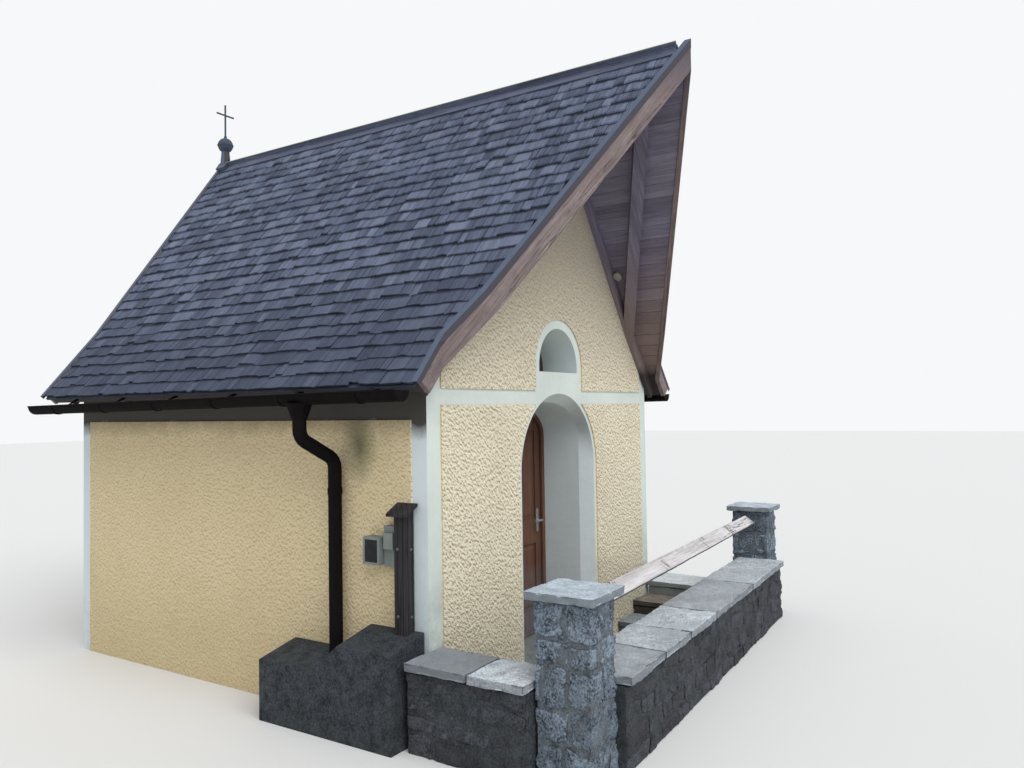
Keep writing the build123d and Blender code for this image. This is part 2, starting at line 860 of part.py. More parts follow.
for side, end, pipe_end in ((-1, "left", ledge_low - ledge_wash), (1, "right", free_pipe_end)):
    with BuildPart() as downpipe:
        mouth = Plane((side * gutter_x, outlet_y, funnel_top), x_dir=(1, 0, 0), z_dir=(0, 0, -1))
        for inset, mode in ((0, Mode.ADD), (pipe_sheet, Mode.SUBTRACT)):
            radii = (funnel_radius - inset, pipe_radius - inset)
            add(frustum(mouth, *radii, funnel_height, pipe_sides), mode=mode)
        with BuildLine(mode=Mode.PRIVATE) as route:
            FilletPolyline(
                (side * gutter_x, outlet_y, funnel_low),
                (side * gutter_x, outlet_y, funnel_low - neck_drop),
                (side * pipe_x, pipe_y, neck_end),
                (side * pipe_x, pipe_y, pipe_end),
                radius=neck_bend,
            )
        stops = [route.vertices().sort_by(Axis.Z)[0].center()]
        for edge in route.edges():
            parts = bend_parts if edge.geom_type == GeomType.CIRCLE else 1
            stops += [edge @ (part / parts) for part in range(parts)]
        with BuildLine():
            Polyline(*sorted(stops, key=lambda point: -point.Z))
        with BuildSketch(Plane((side * gutter_x, outlet_y, funnel_low), z_dir=(0, 0, -1))):
            RegularPolygon(pipe_radius, pipe_sides)
            RegularPolygon(pipe_radius - pipe_sheet, pipe_sides, mode=Mode.SUBTRACT)
        sweep(transition=Transition.RIGHT)
        start = (side * gutter_x, gutter_front, rim_front)
        with BuildSketch(Plane(start, x_dir=(1, 0, 0), z_dir=(0, 1, -gutter_fall))):
            RegularPolygon(gutter_radius + seat, gutter_sides)
        extrude(amount=gutter_length, mode=Mode.SUBTRACT)
        with BuildSketch(Plane.XY.offset(clip_height)):
            reach = pipe_x - wall_skin
            with Locations((side * (wall_skin + reach / 2), pipe_y)):
                Rectangle(reach, clip_arm)
            with Locations((side * pipe_x, pipe_y)):
                RegularPolygon(pipe_radius + clip_thickness, pipe_sides)
                RegularPolygon(pipe_radius - embed, pipe_sides, mode=Mode.SUBTRACT)
        extrude(amount=clip_width)
        if side < 0:
            with BuildSketch(Plane.XZ):
                with BuildLine():
                    Polyline(*ledge_section(ledge_low, seat), close=True)
                make_face()
            extrude(amount=far_out, both=True, mode=Mode.SUBTRACT)
    write(downpipe.part, f"downpipe_{end}")

# Finial: a tapered sleeve over the ridge and a ball with its band, collar and plain cross
finial_y = rear_y + rear_ridge_overhang - finial_setback
sleeve_top = ridge_height + sleeve_rise
boards_top = flashing_sheet + ridge_board_thickness + seat

with BuildPart() as finial_sleeve:
    foot = Plane((0, finial_y, ridge_height - sleeve_drop))
    radii = (sleeve_bottom_radius, sleeve_top_radius)
    add(frustum(foot, *radii, sleeve_drop + sleeve_rise, finial_sides))
    for side in (-1, 1):
        add(
            roof_layer(-boards_top, under_rafters, side, roof_plan(-ridge_overhang, side)),
            mode=Mode.SUBTRACT,
        )
write(finial_sleeve.part, "finial_sleeve")

ball_low = sleeve_top + seat
ball_foot_angle = asin(sleeve_top_radius / ball_radius)
ball_centre = ball_low + ball_radius * cos(ball_foot_angle)
ball_top = ball_centre + ball_radius * cos(ball_crown_angle)
with BuildPart() as finial_cross:
    for up, last in ((1, pi / 2 - ball_crown_angle), (-1, pi / 2 - ball_foot_angle)):
        stops = [last * ring / ball_ring_count for ring in range(ball_ring_count + 1)]
        for low, high in zip(stops[:-1], stops[1:]):
            level = ball_centre + up * ball_radius * sin(low)
            radii = (ball_radius * cos(low), ball_radius * cos(high))
            ring_height = ball_radius * (sin(high) - sin(low))
            ring_plane = Plane((0, finial_y, level), x_dir=(1, 0, 0), z_dir=(0, 0, up))
            add(frustum(ring_plane, *radii, ring_height, finial_sides))
    for low, radius, height in (
        (ball_centre - ball_band_height / 2, ball_radius + ball_band_proud, ball_band_height),
        (ball_top, collar_radius, collar_height),
    ):
        add(frustum(Plane((0, finial_y, low)), radius, radius, height, finial_sides))
    cross_foot = ball_top + collar_height
    with Locations((0, finial_y, cross_foot)):
        Box(
            cross_bar,
            cross_bar,
            cross_height,
            align=(Align.CENTER, Align.CENTER, Align.MIN),
        )
    with Locations((0, finial_y, cross_foot + cross_height - cross_arm_drop)):
        Box(2 * cross_half_span, cross_bar, cross_bar)
write(finial_cross.part, "finial_cross")

# Round lamp under the eaves, square to the slope
lamp_y = gable_face - wall_rafter_width - lamp_gap - lamp_radius
lamp_x = (lamp_y - lamp_radius - lamp_rafter_gap - flying_tail) / verge_slope
lamp_z = roof_height(lamp_x, rafters_at)
with BuildPart() as soffit_lamp:
    down_slope = (-sin(main_angle), 0, -cos(main_angle))
    with BuildSketch(Plane((lamp_x, lamp_y, lamp_z), x_dir=(0, 1, 0), z_dir=down_slope).offset(seat)):
        RegularPolygon(lamp_radius, lamp_sides)
    extrude(amount=lamp_depth)
write(soffit_lamp.part, "soffit_lamp")

# Cabinets on the left wall: the meter with its window and a narrower box in front
meter_y = front_y + cabinet_from_front + cabinet_width / 2
side_box_y = front_y + cabinet_from_front - side_box_gap - side_box_width / 2
side_box_foot = cabinet_bottom - side_box_low
wall_plane = Plane((-wall_skin, 0, 0), x_dir=(0, -1, 0), z_dir=(-1, 0, 0))
with BuildPart() as meter_cabinet:
    with BuildSketch(wall_plane):
        with Locations((-meter_y, cabinet_bottom + cabinet_height / 2)):
            Rectangle(cabinet_width, cabinet_height)
    extrude(amount=cabinet_depth)
    with BuildSketch(wall_plane.offset(cabinet_depth)):
        with Locations((-meter_y, cabinet_bottom + cabinet_height / 2)):
            Rectangle(cabinet_width - 2 * meter_window_border, cabinet_height - 2 * meter_window_border)
    extrude(amount=-meter_window_recess, mode=Mode.SUBTRACT)
    with BuildSketch(wall_plane):
        with Locations((-side_box_y, side_box_foot + side_box_height / 2)):
            Rectangle(side_box_width, side_box_height)
    extrude(amount=side_box_depth)
    with BuildSketch(wall_plane):
        with Locations((-side_box_y, side_box_foot + side_box_height - fuse_box_drop)):
            Rectangle(fuse_box_width, fuse_box_height, align=(Align.CENTER, Align.MAX))
    extrude(amount=side_box_depth + fuse_box_depth)
write(meter_cabinet.part, "meter_cabinet")

# Boxed cover beside the corner: three boards under a thin sloping cap
cover_left = front_y + cover_from_front
cover_y = cover_left + cover_width / 2
with BuildPart() as cable_cover:
    with BuildSketch(Plane.XY.offset(ledge_high - ledge_wash)):
        with Locations((-wall_skin, cover_y)):
            Rectangle(cover_depth, cover_width, align=(Align.MAX, Align.CENTER))
            Rectangle(
                cover_depth - cover_board,
                cover_width - 2 * cover_board,
                align=(Align.MAX, Align.CENTER),
                mode=Mode.SUBTRACT,
            )
    extrude(amount=cover_top + ledge_wash - ledge_high)
    front_x = -wall_skin - cover_depth - cover_cap_lap
    cap_line = ((-wall_skin, cover_top), (front_x, cover_top - cover_cap_fall))
    above = [(x, cover_top + cover_cap_fall) for x, _ in cap_line[::-1]]
    with BuildSketch(Plane.XZ):
        with BuildLine():
            Polyline(*cap_line, *above, close=True)
        make_face()
        with BuildLine():
            Polyline(*ledge_section(ledge_high, seat), close=True)
        make_face()
    extrude(amount=far_out, both=True, mode=Mode.SUBTRACT)
    with BuildSketch(Plane.XZ.offset(-(cover_y + cover_width / 2 + cover_cap_lap))):
        with BuildLine():
            Polyline(*cap_line, *[(x, z + cover_cap_thickness) for x, z in cap_line[::-1]], close=True)
        make_face()
    extrude(amount=cover_width + 2 * cover_cap_lap)
write(cable_cover.part, "cable_cover")

# Ledge at the foot of the left wall, falling to the rear and away from the wall
with BuildPart() as wall_foot_ledge:
    with BuildSketch(Plane.YZ.offset(-wall_skin)):
        with BuildLine():
            Polyline(
                (front_y + ledge_from_front, 0),
                (front_y + ledge_end, 0),
                (front_y + ledge_end, ledge_low),
                (front_y + ledge_level_from, ledge_low),
                (front_y + ledge_shoulder, ledge_high),
                (front_y + ledge_from_front, ledge_high),
                close=True,
            )
        make_face()
    extrude(amount=hypot(ledge_width, ledge_wash), dir=(-ledge_width, 0, -ledge_wash))
    with BuildSketch(Plane.XY):
        with Locations((-wall_skin - ledge_width / 2, front_y)):
            Rectangle(2 * ledge_width, 2 * far_out)
    extrude(amount=-ledge_high, mode=Mode.SUBTRACT)
write(wall_foot_ledge.part, "wall_foot_ledge")

# Sunken entrance: pillars, low walls, coping slabs, rail and steps
near_pillar_x = -half_width - near_pillar_out
far_pillar_x = half_width + far_pillar_out
side_parapet_x = -half_width - side_parapet_out
near_y = front_y - near_pillar_from_front
far_y = front_y - far_pillar_from_front
near_face_x = near_pillar_x + pillar_width / 2
far_face_x = far_pillar_x - pillar_width / 2
with BuildPart() as pillars:
    with BuildSketch(Plane.XY):
        with Locations((near_pillar_x, near_y), (far_pillar_x, far_y)):
            Rectangle(pillar_width, pillar_depth)
    extrude(amount=pillar_height)
write(pillars.part, "pillars")

with BuildPart() as pillar_caps:
    with BuildSketch(Plane.XY.offset(pillar_height + seat)):
        with Locations((near_pillar_x, near_y), (far_pillar_x, far_y)):
            Rectangle(pillar_width + 2 * cap_overhang, pillar_depth + 2 * cap_overhang)
    extrude(amount=cap_thickness)
write(pillar_caps.part, "pillar_caps")


def parapet_y(x):
    """Centre line of the front parapet at a place along it."""
    share = (x - near_face_x) / (far_face_x - near_face_x)
    return front_y - front_parapet_near + share * (front_parapet_near - front_parapet_far)


def parapet_plan(low_x, high_x, half):
    """Plan outline of a stretch of the front parapet or its coping."""
    low, high = parapet_y(low_x), parapet_y(high_x)
    return [(low_x, low - half), (high_x, high - half), (high_x, high + half), (low_x, low + half)]


wall_end_y = gable_face - seat
pillar_back_y = near_y + pillar_depth / 2
with BuildPart() as parapet_walls:
    with BuildSketch(Plane.XY):
        with BuildLine():
            ends = (near_face_x + seat, far_face_x - seat)
            Polyline(*parapet_plan(*ends, front_parapet_width / 2), close=True)
        make_face()
        with Locations((side_parapet_x, (pillar_back_y + seat + wall_end_y) / 2)):
            Rectangle(side_parapet_width, wall_end_y - pillar_back_y - seat)
    extrude(amount=parapet_height)
write(parapet_walls.part, "parapet_walls")

with BuildPart() as coping_slabs:
    seams = [near_face_x + share * (far_face_x - near_face_x) for share in slab_seam_shares]
    edges = (near_face_x + slab_joint / 2, *seams, far_face_x - slab_joint / 2)
    with BuildSketch(Plane.XY.offset(parapet_height + seat)):
        for low_x, high_x in zip(edges[:-1], edges[1:]):
            with BuildLine():
                half = front_parapet_width / 2 + slab_overhang
                Polyline(
                    *parapet_plan(low_x + slab_joint / 2, high_x - slab_joint / 2, half),
                    close=True,
                )
            make_face()
        seam_y = front_y - side_slab_seam
        for low_y, high_y in ((pillar_back_y, seam_y), (seam_y, wall_end_y)):
            with Locations((side_parapet_x, (low_y + high_y) / 2)):
                Rectangle(side_parapet_width + 2 * slab_overhang, high_y - low_y - slab_joint)
    extrude(amount=slab_thickness)
write(coping_slabs.part, "coping_slabs")

with BuildPart() as entrance_rail:
    with BuildSketch(Plane.XY.offset(rail_level)):
        with BuildLine():
            near_rail_y = front_y - rail_near
            far_rail_y = front_y - rail_far
            Polyline(
                (near_face_x + seat, near_rail_y - rail_width / 2),
                (far_face_x - seat, far_rail_y - rail_width / 2),
                (far_face_x - seat, far_rail_y + rail_width / 2),
                (near_face_x + seat, near_rail_y + rail_width / 2),
                close=True,
            )
        make_face()
    extrude(amount=rail_height)
write(entrance_rail.part, "entrance_rail")

low_x = half_width - first_step_inset
treads = (("step_low", low_tread), ("step_middle", middle_tread), ("step_top", top_tread))
for index, (name, tread) in enumerate(treads):
    high_x = low_x + tread - seat
    with BuildPart() as step:
        with BuildSketch(Plane.XY):
            with BuildLine():
                edge = front_parapet_width / 2 + seat
                Polyline(
                    (low_x, parapet_y(low_x) + edge),
                    (high_x, parapet_y(high_x) + edge),
                    (high_x, wall_end_y),
                    (low_x, wall_end_y),
                    close=True,
                )
            make_face()
        extrude(amount=step_rise * (index + 1))
    write(step.part, name)
    low_x += tread
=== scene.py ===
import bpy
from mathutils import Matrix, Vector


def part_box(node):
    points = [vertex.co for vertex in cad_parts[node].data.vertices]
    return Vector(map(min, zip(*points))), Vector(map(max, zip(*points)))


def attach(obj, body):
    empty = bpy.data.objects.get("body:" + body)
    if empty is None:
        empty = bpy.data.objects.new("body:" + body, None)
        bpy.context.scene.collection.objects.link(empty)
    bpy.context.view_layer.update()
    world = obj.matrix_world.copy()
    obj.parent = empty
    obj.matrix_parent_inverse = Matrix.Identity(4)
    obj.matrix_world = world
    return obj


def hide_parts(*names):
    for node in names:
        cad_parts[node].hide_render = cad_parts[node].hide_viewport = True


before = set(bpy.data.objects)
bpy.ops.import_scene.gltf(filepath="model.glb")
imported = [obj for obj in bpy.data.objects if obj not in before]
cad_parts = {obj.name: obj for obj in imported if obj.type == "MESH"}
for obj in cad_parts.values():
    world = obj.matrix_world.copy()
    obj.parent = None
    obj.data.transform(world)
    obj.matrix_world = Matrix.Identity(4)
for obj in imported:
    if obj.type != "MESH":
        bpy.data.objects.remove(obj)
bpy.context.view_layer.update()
RAIL_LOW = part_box("entrance_rail")[0].z

import logging
from dataclasses import dataclass, field
from enum import Enum
from math import cos, hypot, pi, radians, sin, tan
from typing import Callable, Optional, Sequence

import bpy
import numpy as np
from mathutils import Matrix, Vector

LOG = logging.getLogger("chapel")
RGB = tuple[float, float, float]
Points = np.ndarray
Move = Callable[[Points], Points]

UP: RGB = (0.0, 0.0, 1.0)
LEFT: RGB = (-1.0, 0.0, 0.0)
FRONT: RGB = (0.0, -1.0, 0.0)
SEAT = 0.0003  # gap between two pieces that touch, in metres
LONG_WALL = (2.88, 2.98)  # squared distance from the middle at which the long walls' outer faces begin
EAVE_DARKENING = (1.98, 2.1)  # heights between which the stain and painted shade under the eaves set in


class Side(Enum):
    """The two long sides of the chapel, seen from the front."""

    LEFT = -1
    RIGHT = 1

    @property
    def word(self) -> str:
        """The side's name in lower case."""
        return self.name.lower()


# ---- numbers and surfaces ----


def wobble(points: Points, scale: float, seed: int, waves: int = 14) -> Points:
    """Smooth seeded noise: a mean of sine waves in random directions.

    Formula: the sum over k of sin(w_k . p + phase_k), divided by the square root of the number
    of waves, with each w_k drawn from a normal distribution of the given scale.

    Args:
        points: Array of positions (..., 3) in metres.
        scale: Typical wave number in radians per metre.
        seed: Seed of the waves.
        waves: How many waves are added.

    Returns:
        Array (...) with a spread of about 0.7.
    """
    rng = np.random.default_rng(seed)
    vectors = rng.normal(size=(waves, 3)) * scale
    phases = rng.uniform(0, 2 * pi, waves)
    return np.sin(points @ vectors.T + phases).sum(-1) / np.sqrt(waves)


def uneven(rng: np.random.Generator, count: int, spread: float, low: float, high: float) -> Points:
    """Places of cuts from low to high whose distances vary by the spread."""
    cuts = np.cumsum(np.concatenate([[0], rng.uniform(1 - spread, 1 + spread, count)]))
    return low + cuts / cuts[-1] * (high - low)


def ticks(count: int, edge: float) -> Points:
    """Even spans from -1 to 1, with one extra line at the given distance from each end."""
    return np.concatenate([[-1.0], np.linspace(-1 + edge, 1 - edge, count + 1), [1.0]])


def block_template(counts: tuple[int, int, int], edges: tuple[float, ...]) -> tuple[Points, Points]:
    """Closed, evenly divided surface of the cube from -1 to 1.

    Formula: each of the six faces is a grid f(u, v) of the tick positions on its two axes with the
    third axis held at -1 or 1; equal corners of neighbouring faces are welded.

    Args:
        counts: Spans along x, y and z.
        edges: Share of each half edge at which the edge lines lie.

    Returns:
        Corner positions (m, 3) and outward quads (q, 4).
    """
    lines = [ticks(counts[axis], edges[axis]) for axis in range(3)]
    verts, quads, start = [], [], 0
    for axis in range(3):
        first, second = (axis + 1) % 3, (axis + 2) % 3
        a, b = np.meshgrid(lines[first], lines[second], indexing="ij")
        index = np.arange(a.size).reshape(a.shape)
        quad = np.stack([index[:-1, :-1], index[1:, :-1], index[1:, 1:], index[:-1, 1:]], -1).reshape(-1, 4)
        for level in (-1.0, 1.0):
            face = np.empty((a.size, 3))
            face[:, axis], face[:, first], face[:, second] = level, a.ravel(), b.ravel()
            verts.append(face)
            quads.append((quad if level > 0 else quad[:, ::-1]) + start)
            start += a.size
    corners, inverse = np.unique(np.round(np.concatenate(verts), 6), axis=0, return_inverse=True)
    return corners, inverse.reshape(-1)[np.concatenate(quads)]


def tube_quads(number: Points) -> Points:
    """Quads (q, 4) between the closed rings of corner numbers (rings, corners)."""
    after = np.roll(number, -1, 1)
    return np.stack([number[:-1], after[:-1], after[1:], number[1:]], -1).reshape(-1, 4)


BOX_QUADS = np.array([[0, 1, 3, 2], [4, 6, 7, 5], [0, 4, 5, 1], [2, 3, 7, 6], [0, 2, 6, 4], [1, 5, 7, 3]])


def outward(corners: Points, quads: Points) -> Points:
    """Turns the quads of a closed mesh round where they face inwards.

    Formula: the sum of a . (b x c) over the triangles of a closed mesh is six times its volume, and
    negative where the faces point inwards.

    Args:
        corners: Positions (k, m, 3) of copies that all have the same handedness.
        quads: The quads of one copy.

    Returns:
        The quads with outward normals.
    """
    a, b, c, d = (corners[0][quads[:, i]] for i in range(4))
    volume = (a * np.cross(b, c)).sum() + (a * np.cross(c, d)).sum()
    return quads if volume > 0 else quads[:, ::-1]


@dataclass(frozen=True)
class Cut:
    """How a block is dressed: edge radius and depth in metres, wave number, spans of its mesh, seed."""

    radius: float
    depth: float
    scale: float
    spans: tuple[int, int, int]
    seed: int


def rough_blocks(low: object, high: object, cut: Cut, turn: int = 0) -> tuple[Points, Points]:
    """Surfaces of split stone blocks: rounded boxes whose faces are dressed back unevenly.

    Formula: a point q of the unit cube goes to c + q * h; what of it lies outside the inner box of
    half size h - r is drawn in to a sphere of radius r round the inner box; then it moves towards
    the block's middle by depth times (0.5 + noise), held between 0 and depth.

    Args:
        low: Lowest corners (k, 3), or one corner.
        high: Highest corners (k, 3), or one corner.
        cut: The dressing.
        turn: Number that is added to its seed.

    Returns:
        Positions (k, m, 3) and the template's quads.
    """
    low, high = (np.atleast_2d(np.asarray(corner, float)) for corner in (low, high))
    half = (high - low) / 2
    unit, quads = block_template(cut.spans, tuple(np.clip(cut.radius / half.mean(0), 0.02, 0.6)))
    place = unit[None] * half[:, None]
    inner = np.clip(place, -(half - cut.radius)[:, None], (half - cut.radius)[:, None])
    away = place - inner
    away /= np.maximum(np.linalg.norm(away, axis=-1, keepdims=True), 1e-9)
    place = inner + cut.radius * away + ((low + high) / 2)[:, None]
    seed = cut.seed + turn
    noise = 0.5 + 0.35 * wobble(place, cut.scale, seed) + 0.2 * wobble(place, cut.scale * 2.7, seed + 1)
    return place - away * (cut.depth * np.clip(noise, 0, 1))[..., None], quads


@dataclass(frozen=True)
class Crumple:
    """Moves joints out of line inside a box whose faces stay where they are.

    Formula: along each axis a point moves by amount * noise, faded to nothing over the outer 5 cm
    next to the box's two faces across that axis.
    """

    low: Points
    high: Points
    amount: float
    scale: float
    seed: int
    fade: float = 0.05

    def __call__(self, points: Points) -> Points:
        """Moves positions (..., 3).

        Args:
            points: The positions.

        Returns:
            The moved positions.
        """
        moved = points.copy()
        for axis in range(3):
            near = np.minimum(points[..., axis] - self.low[axis], self.high[axis] - points[..., axis])
            noise = wobble(points, self.scale, self.seed + axis, 8)
            moved[..., axis] += self.amount * noise * np.clip(near / self.fade, 0, 1)
        return moved


@dataclass
class MeshBuffer:
    """Collects arrays of corners, quads and per-corner values for one joined mesh."""

    corners: list[Points] = field(default_factory=list)
    quads: list[Points] = field(default_factory=list)
    tones: list[Points] = field(default_factory=list)
    grains: list[Points] = field(default_factory=list)
    lights: list[Points] = field(default_factory=list)
    total: int = 0

    def add(self, corners: Points, quads: Points, tone: object = 0.5, grain: Optional[Points] = None,
            lit: Optional[Points] = None) -> None:
        """Adds many copies of one template, or one mesh.

        Args:
            corners: Positions (k, m, 3) of k copies.
            quads: Corner numbers (q, 4) within one copy.
            tone: A value from 0 to 1 for all copies, or one for each (k,).
            grain: Positions (k, m, 3) along and across the grain, or None for the corners themselves.
            lit: Values (m,) from 0 in hidden places to 1 in open ones, by which a finish paints shade, or
                None for open everywhere.
        """
        copies, size = corners.shape[:2]
        shift = self.total + size * np.arange(copies)
        self.corners.append(corners.reshape(-1, 3))
        self.quads.append((quads[None] + shift[:, None, None]).reshape(-1, 4))
        self.tones.append(np.repeat(np.broadcast_to(np.asarray(tone, float), copies), size))
        self.grains.append((corners if grain is None else grain).reshape(-1, 3))
        self.lights.append(np.tile(np.ones(size) if lit is None else lit, copies))
        self.total += copies * size

    def add_box(self, corners: Sequence[Sequence[float]], tone: float = 0.5) -> None:
        """Adds a closed box of eight corners (8, 3), turned outwards."""
        box = np.array(corners, float)[None]
        self.add(box, outward(box, BOX_QUADS), tone)

    def add_stones(self, low: object, high: object, cut: Cut, turn: int = 0, tone: object = 0.5,
                   moves: Sequence[Move] = ()) -> None:
        """Adds rough blocks.

        Args:
            low: Lowest corners (k, 3), or one corner.
            high: Highest corners (k, 3), or one corner.
            cut: The dressing.
            turn: Number that is added to the dressing's seed.
            tone: Their tone, as in add.
            moves: Functions that move the positions, one after the other.
        """
        corners, quads = rough_blocks(low, high, cut, turn)
        for move in moves:
            corners = move(corners)
        self.add(corners, quads, tone)

    def build(self, name: str, smooth: bool) -> bpy.types.Object:
        """Makes the mesh object in the scene.

        Args:
            name: Name of the object and its mesh.
            smooth: Whether faces are shaded smooth.

        Returns:
            The new object, at the origin.
        """
        corners = np.concatenate(self.corners).astype(np.float32)
        quads = np.concatenate(self.quads).astype(np.int32)
        mesh = bpy.data.meshes.new(name)
        mesh.vertices.add(len(corners))
        mesh.vertices.foreach_set("co", corners.ravel())
        mesh.loops.add(quads.size)
        mesh.loops.foreach_set("vertex_index", quads.ravel())
        mesh.polygons.add(len(quads))
        mesh.polygons.foreach_set("loop_start", np.arange(0, quads.size, 4, dtype=np.int32))
        mesh.polygons.foreach_set("use_smooth", np.full(len(quads), smooth))
        mesh.update(calc_edges=True)
        for label, values in (("tone", self.tones), ("lit", self.lights)):
            layer = mesh.attributes.new(label, "FLOAT", "POINT")
            layer.data.foreach_set("value", np.concatenate(values).astype(np.float32))
        grain = mesh.attributes.new("grain", "FLOAT_VECTOR", "POINT")
        grain.data.foreach_set("vector", np.concatenate(self.grains).astype(np.float32).ravel())
        mesh.validate()
        return place_in_scene(name, mesh)


def place_in_scene(name: str, data: bpy.types.ID) -> bpy.types.Object:
    """Links a new object that shows a mesh, light or camera.

    Args:
        name: Name of the object.
        data: What it shows.

    Returns:
        The object.
    """
    made = bpy.data.objects.new(name, data)
    bpy.context.scene.collection.objects.link(made)
    return made


# ---- finishes ----


def dim(colour: RGB, share: float) -> RGB:
    """A colour times a share."""
    return tuple(channel * share for channel in colour)


@dataclass(frozen=True)
class Wire:
    """An output of a shader node, which can be reckoned with like a number or a position."""

    tree: "Tree"
    socket: bpy.types.NodeSocket

    def __add__(self, other: object) -> "Wire":
        """Sum of two numbers."""
        return self.tree.math("ADD", self, other)

    def __sub__(self, other: object) -> "Wire":
        """Difference of two numbers."""
        return self.tree.math("SUBTRACT", self, other)

    def __mul__(self, other: object) -> "Wire":
        """Product of two numbers."""
        return self.tree.math("MULTIPLY", self, other)

    def __abs__(self) -> "Wire":
        """Absolute value of a number."""
        return self.tree.math("ABSOLUTE", self)

    def scaled(self, factors: RGB) -> "Wire":
        """A position times a factor on each axis."""
        return self.tree.add("VectorMath", "Vector", {0: self, 1: factors}, operation="MULTIPLY")

    def moved(self, by: RGB) -> "Wire":
        """A position moved by a vector."""
        return self.tree.add("VectorMath", "Vector", {0: self, 1: by}, operation="ADD")

    def dot(self, other: object) -> "Wire":
        """Dot product of two vectors."""
        return self.tree.add("VectorMath", "Value", {0: self, 1: other}, operation="DOT_PRODUCT")

    def step(self, low: float, high: float) -> "Wire":
        """A number stretched so that low gives 0 and high gives 1, held between them."""
        return self.tree.add("MapRange", 0, {"Value": self, "From Min": low, "From Max": high})

    def noise(self, scale: float, detail: float, rough: float) -> "Wire":
        """Fractal noise at a position, with features per metre, octaves and the finer ones' strength."""
        inputs = {"Vector": self, "Scale": scale, "Detail": detail, "Roughness": rough}
        return self.tree.add("TexNoise", 0, inputs)

    def cracks(self, scale: float, width: float) -> "Wire":
        """Thin broken lines: where one noise passes its middle value, seen only where another is high.

        Args:
            scale: Features per metre.
            width: Half width of the lines as a difference of the noise.

        Returns:
            1 in the cracks and 0 beside them.
        """
        course = abs(self.noise(scale, 5.0, 0.6) - 0.5)
        there = self.noise(scale * 0.6 + 0.37, 1.0, 0.5).step(0.5, 0.56)
        return course.step(width, width * 0.35) * there


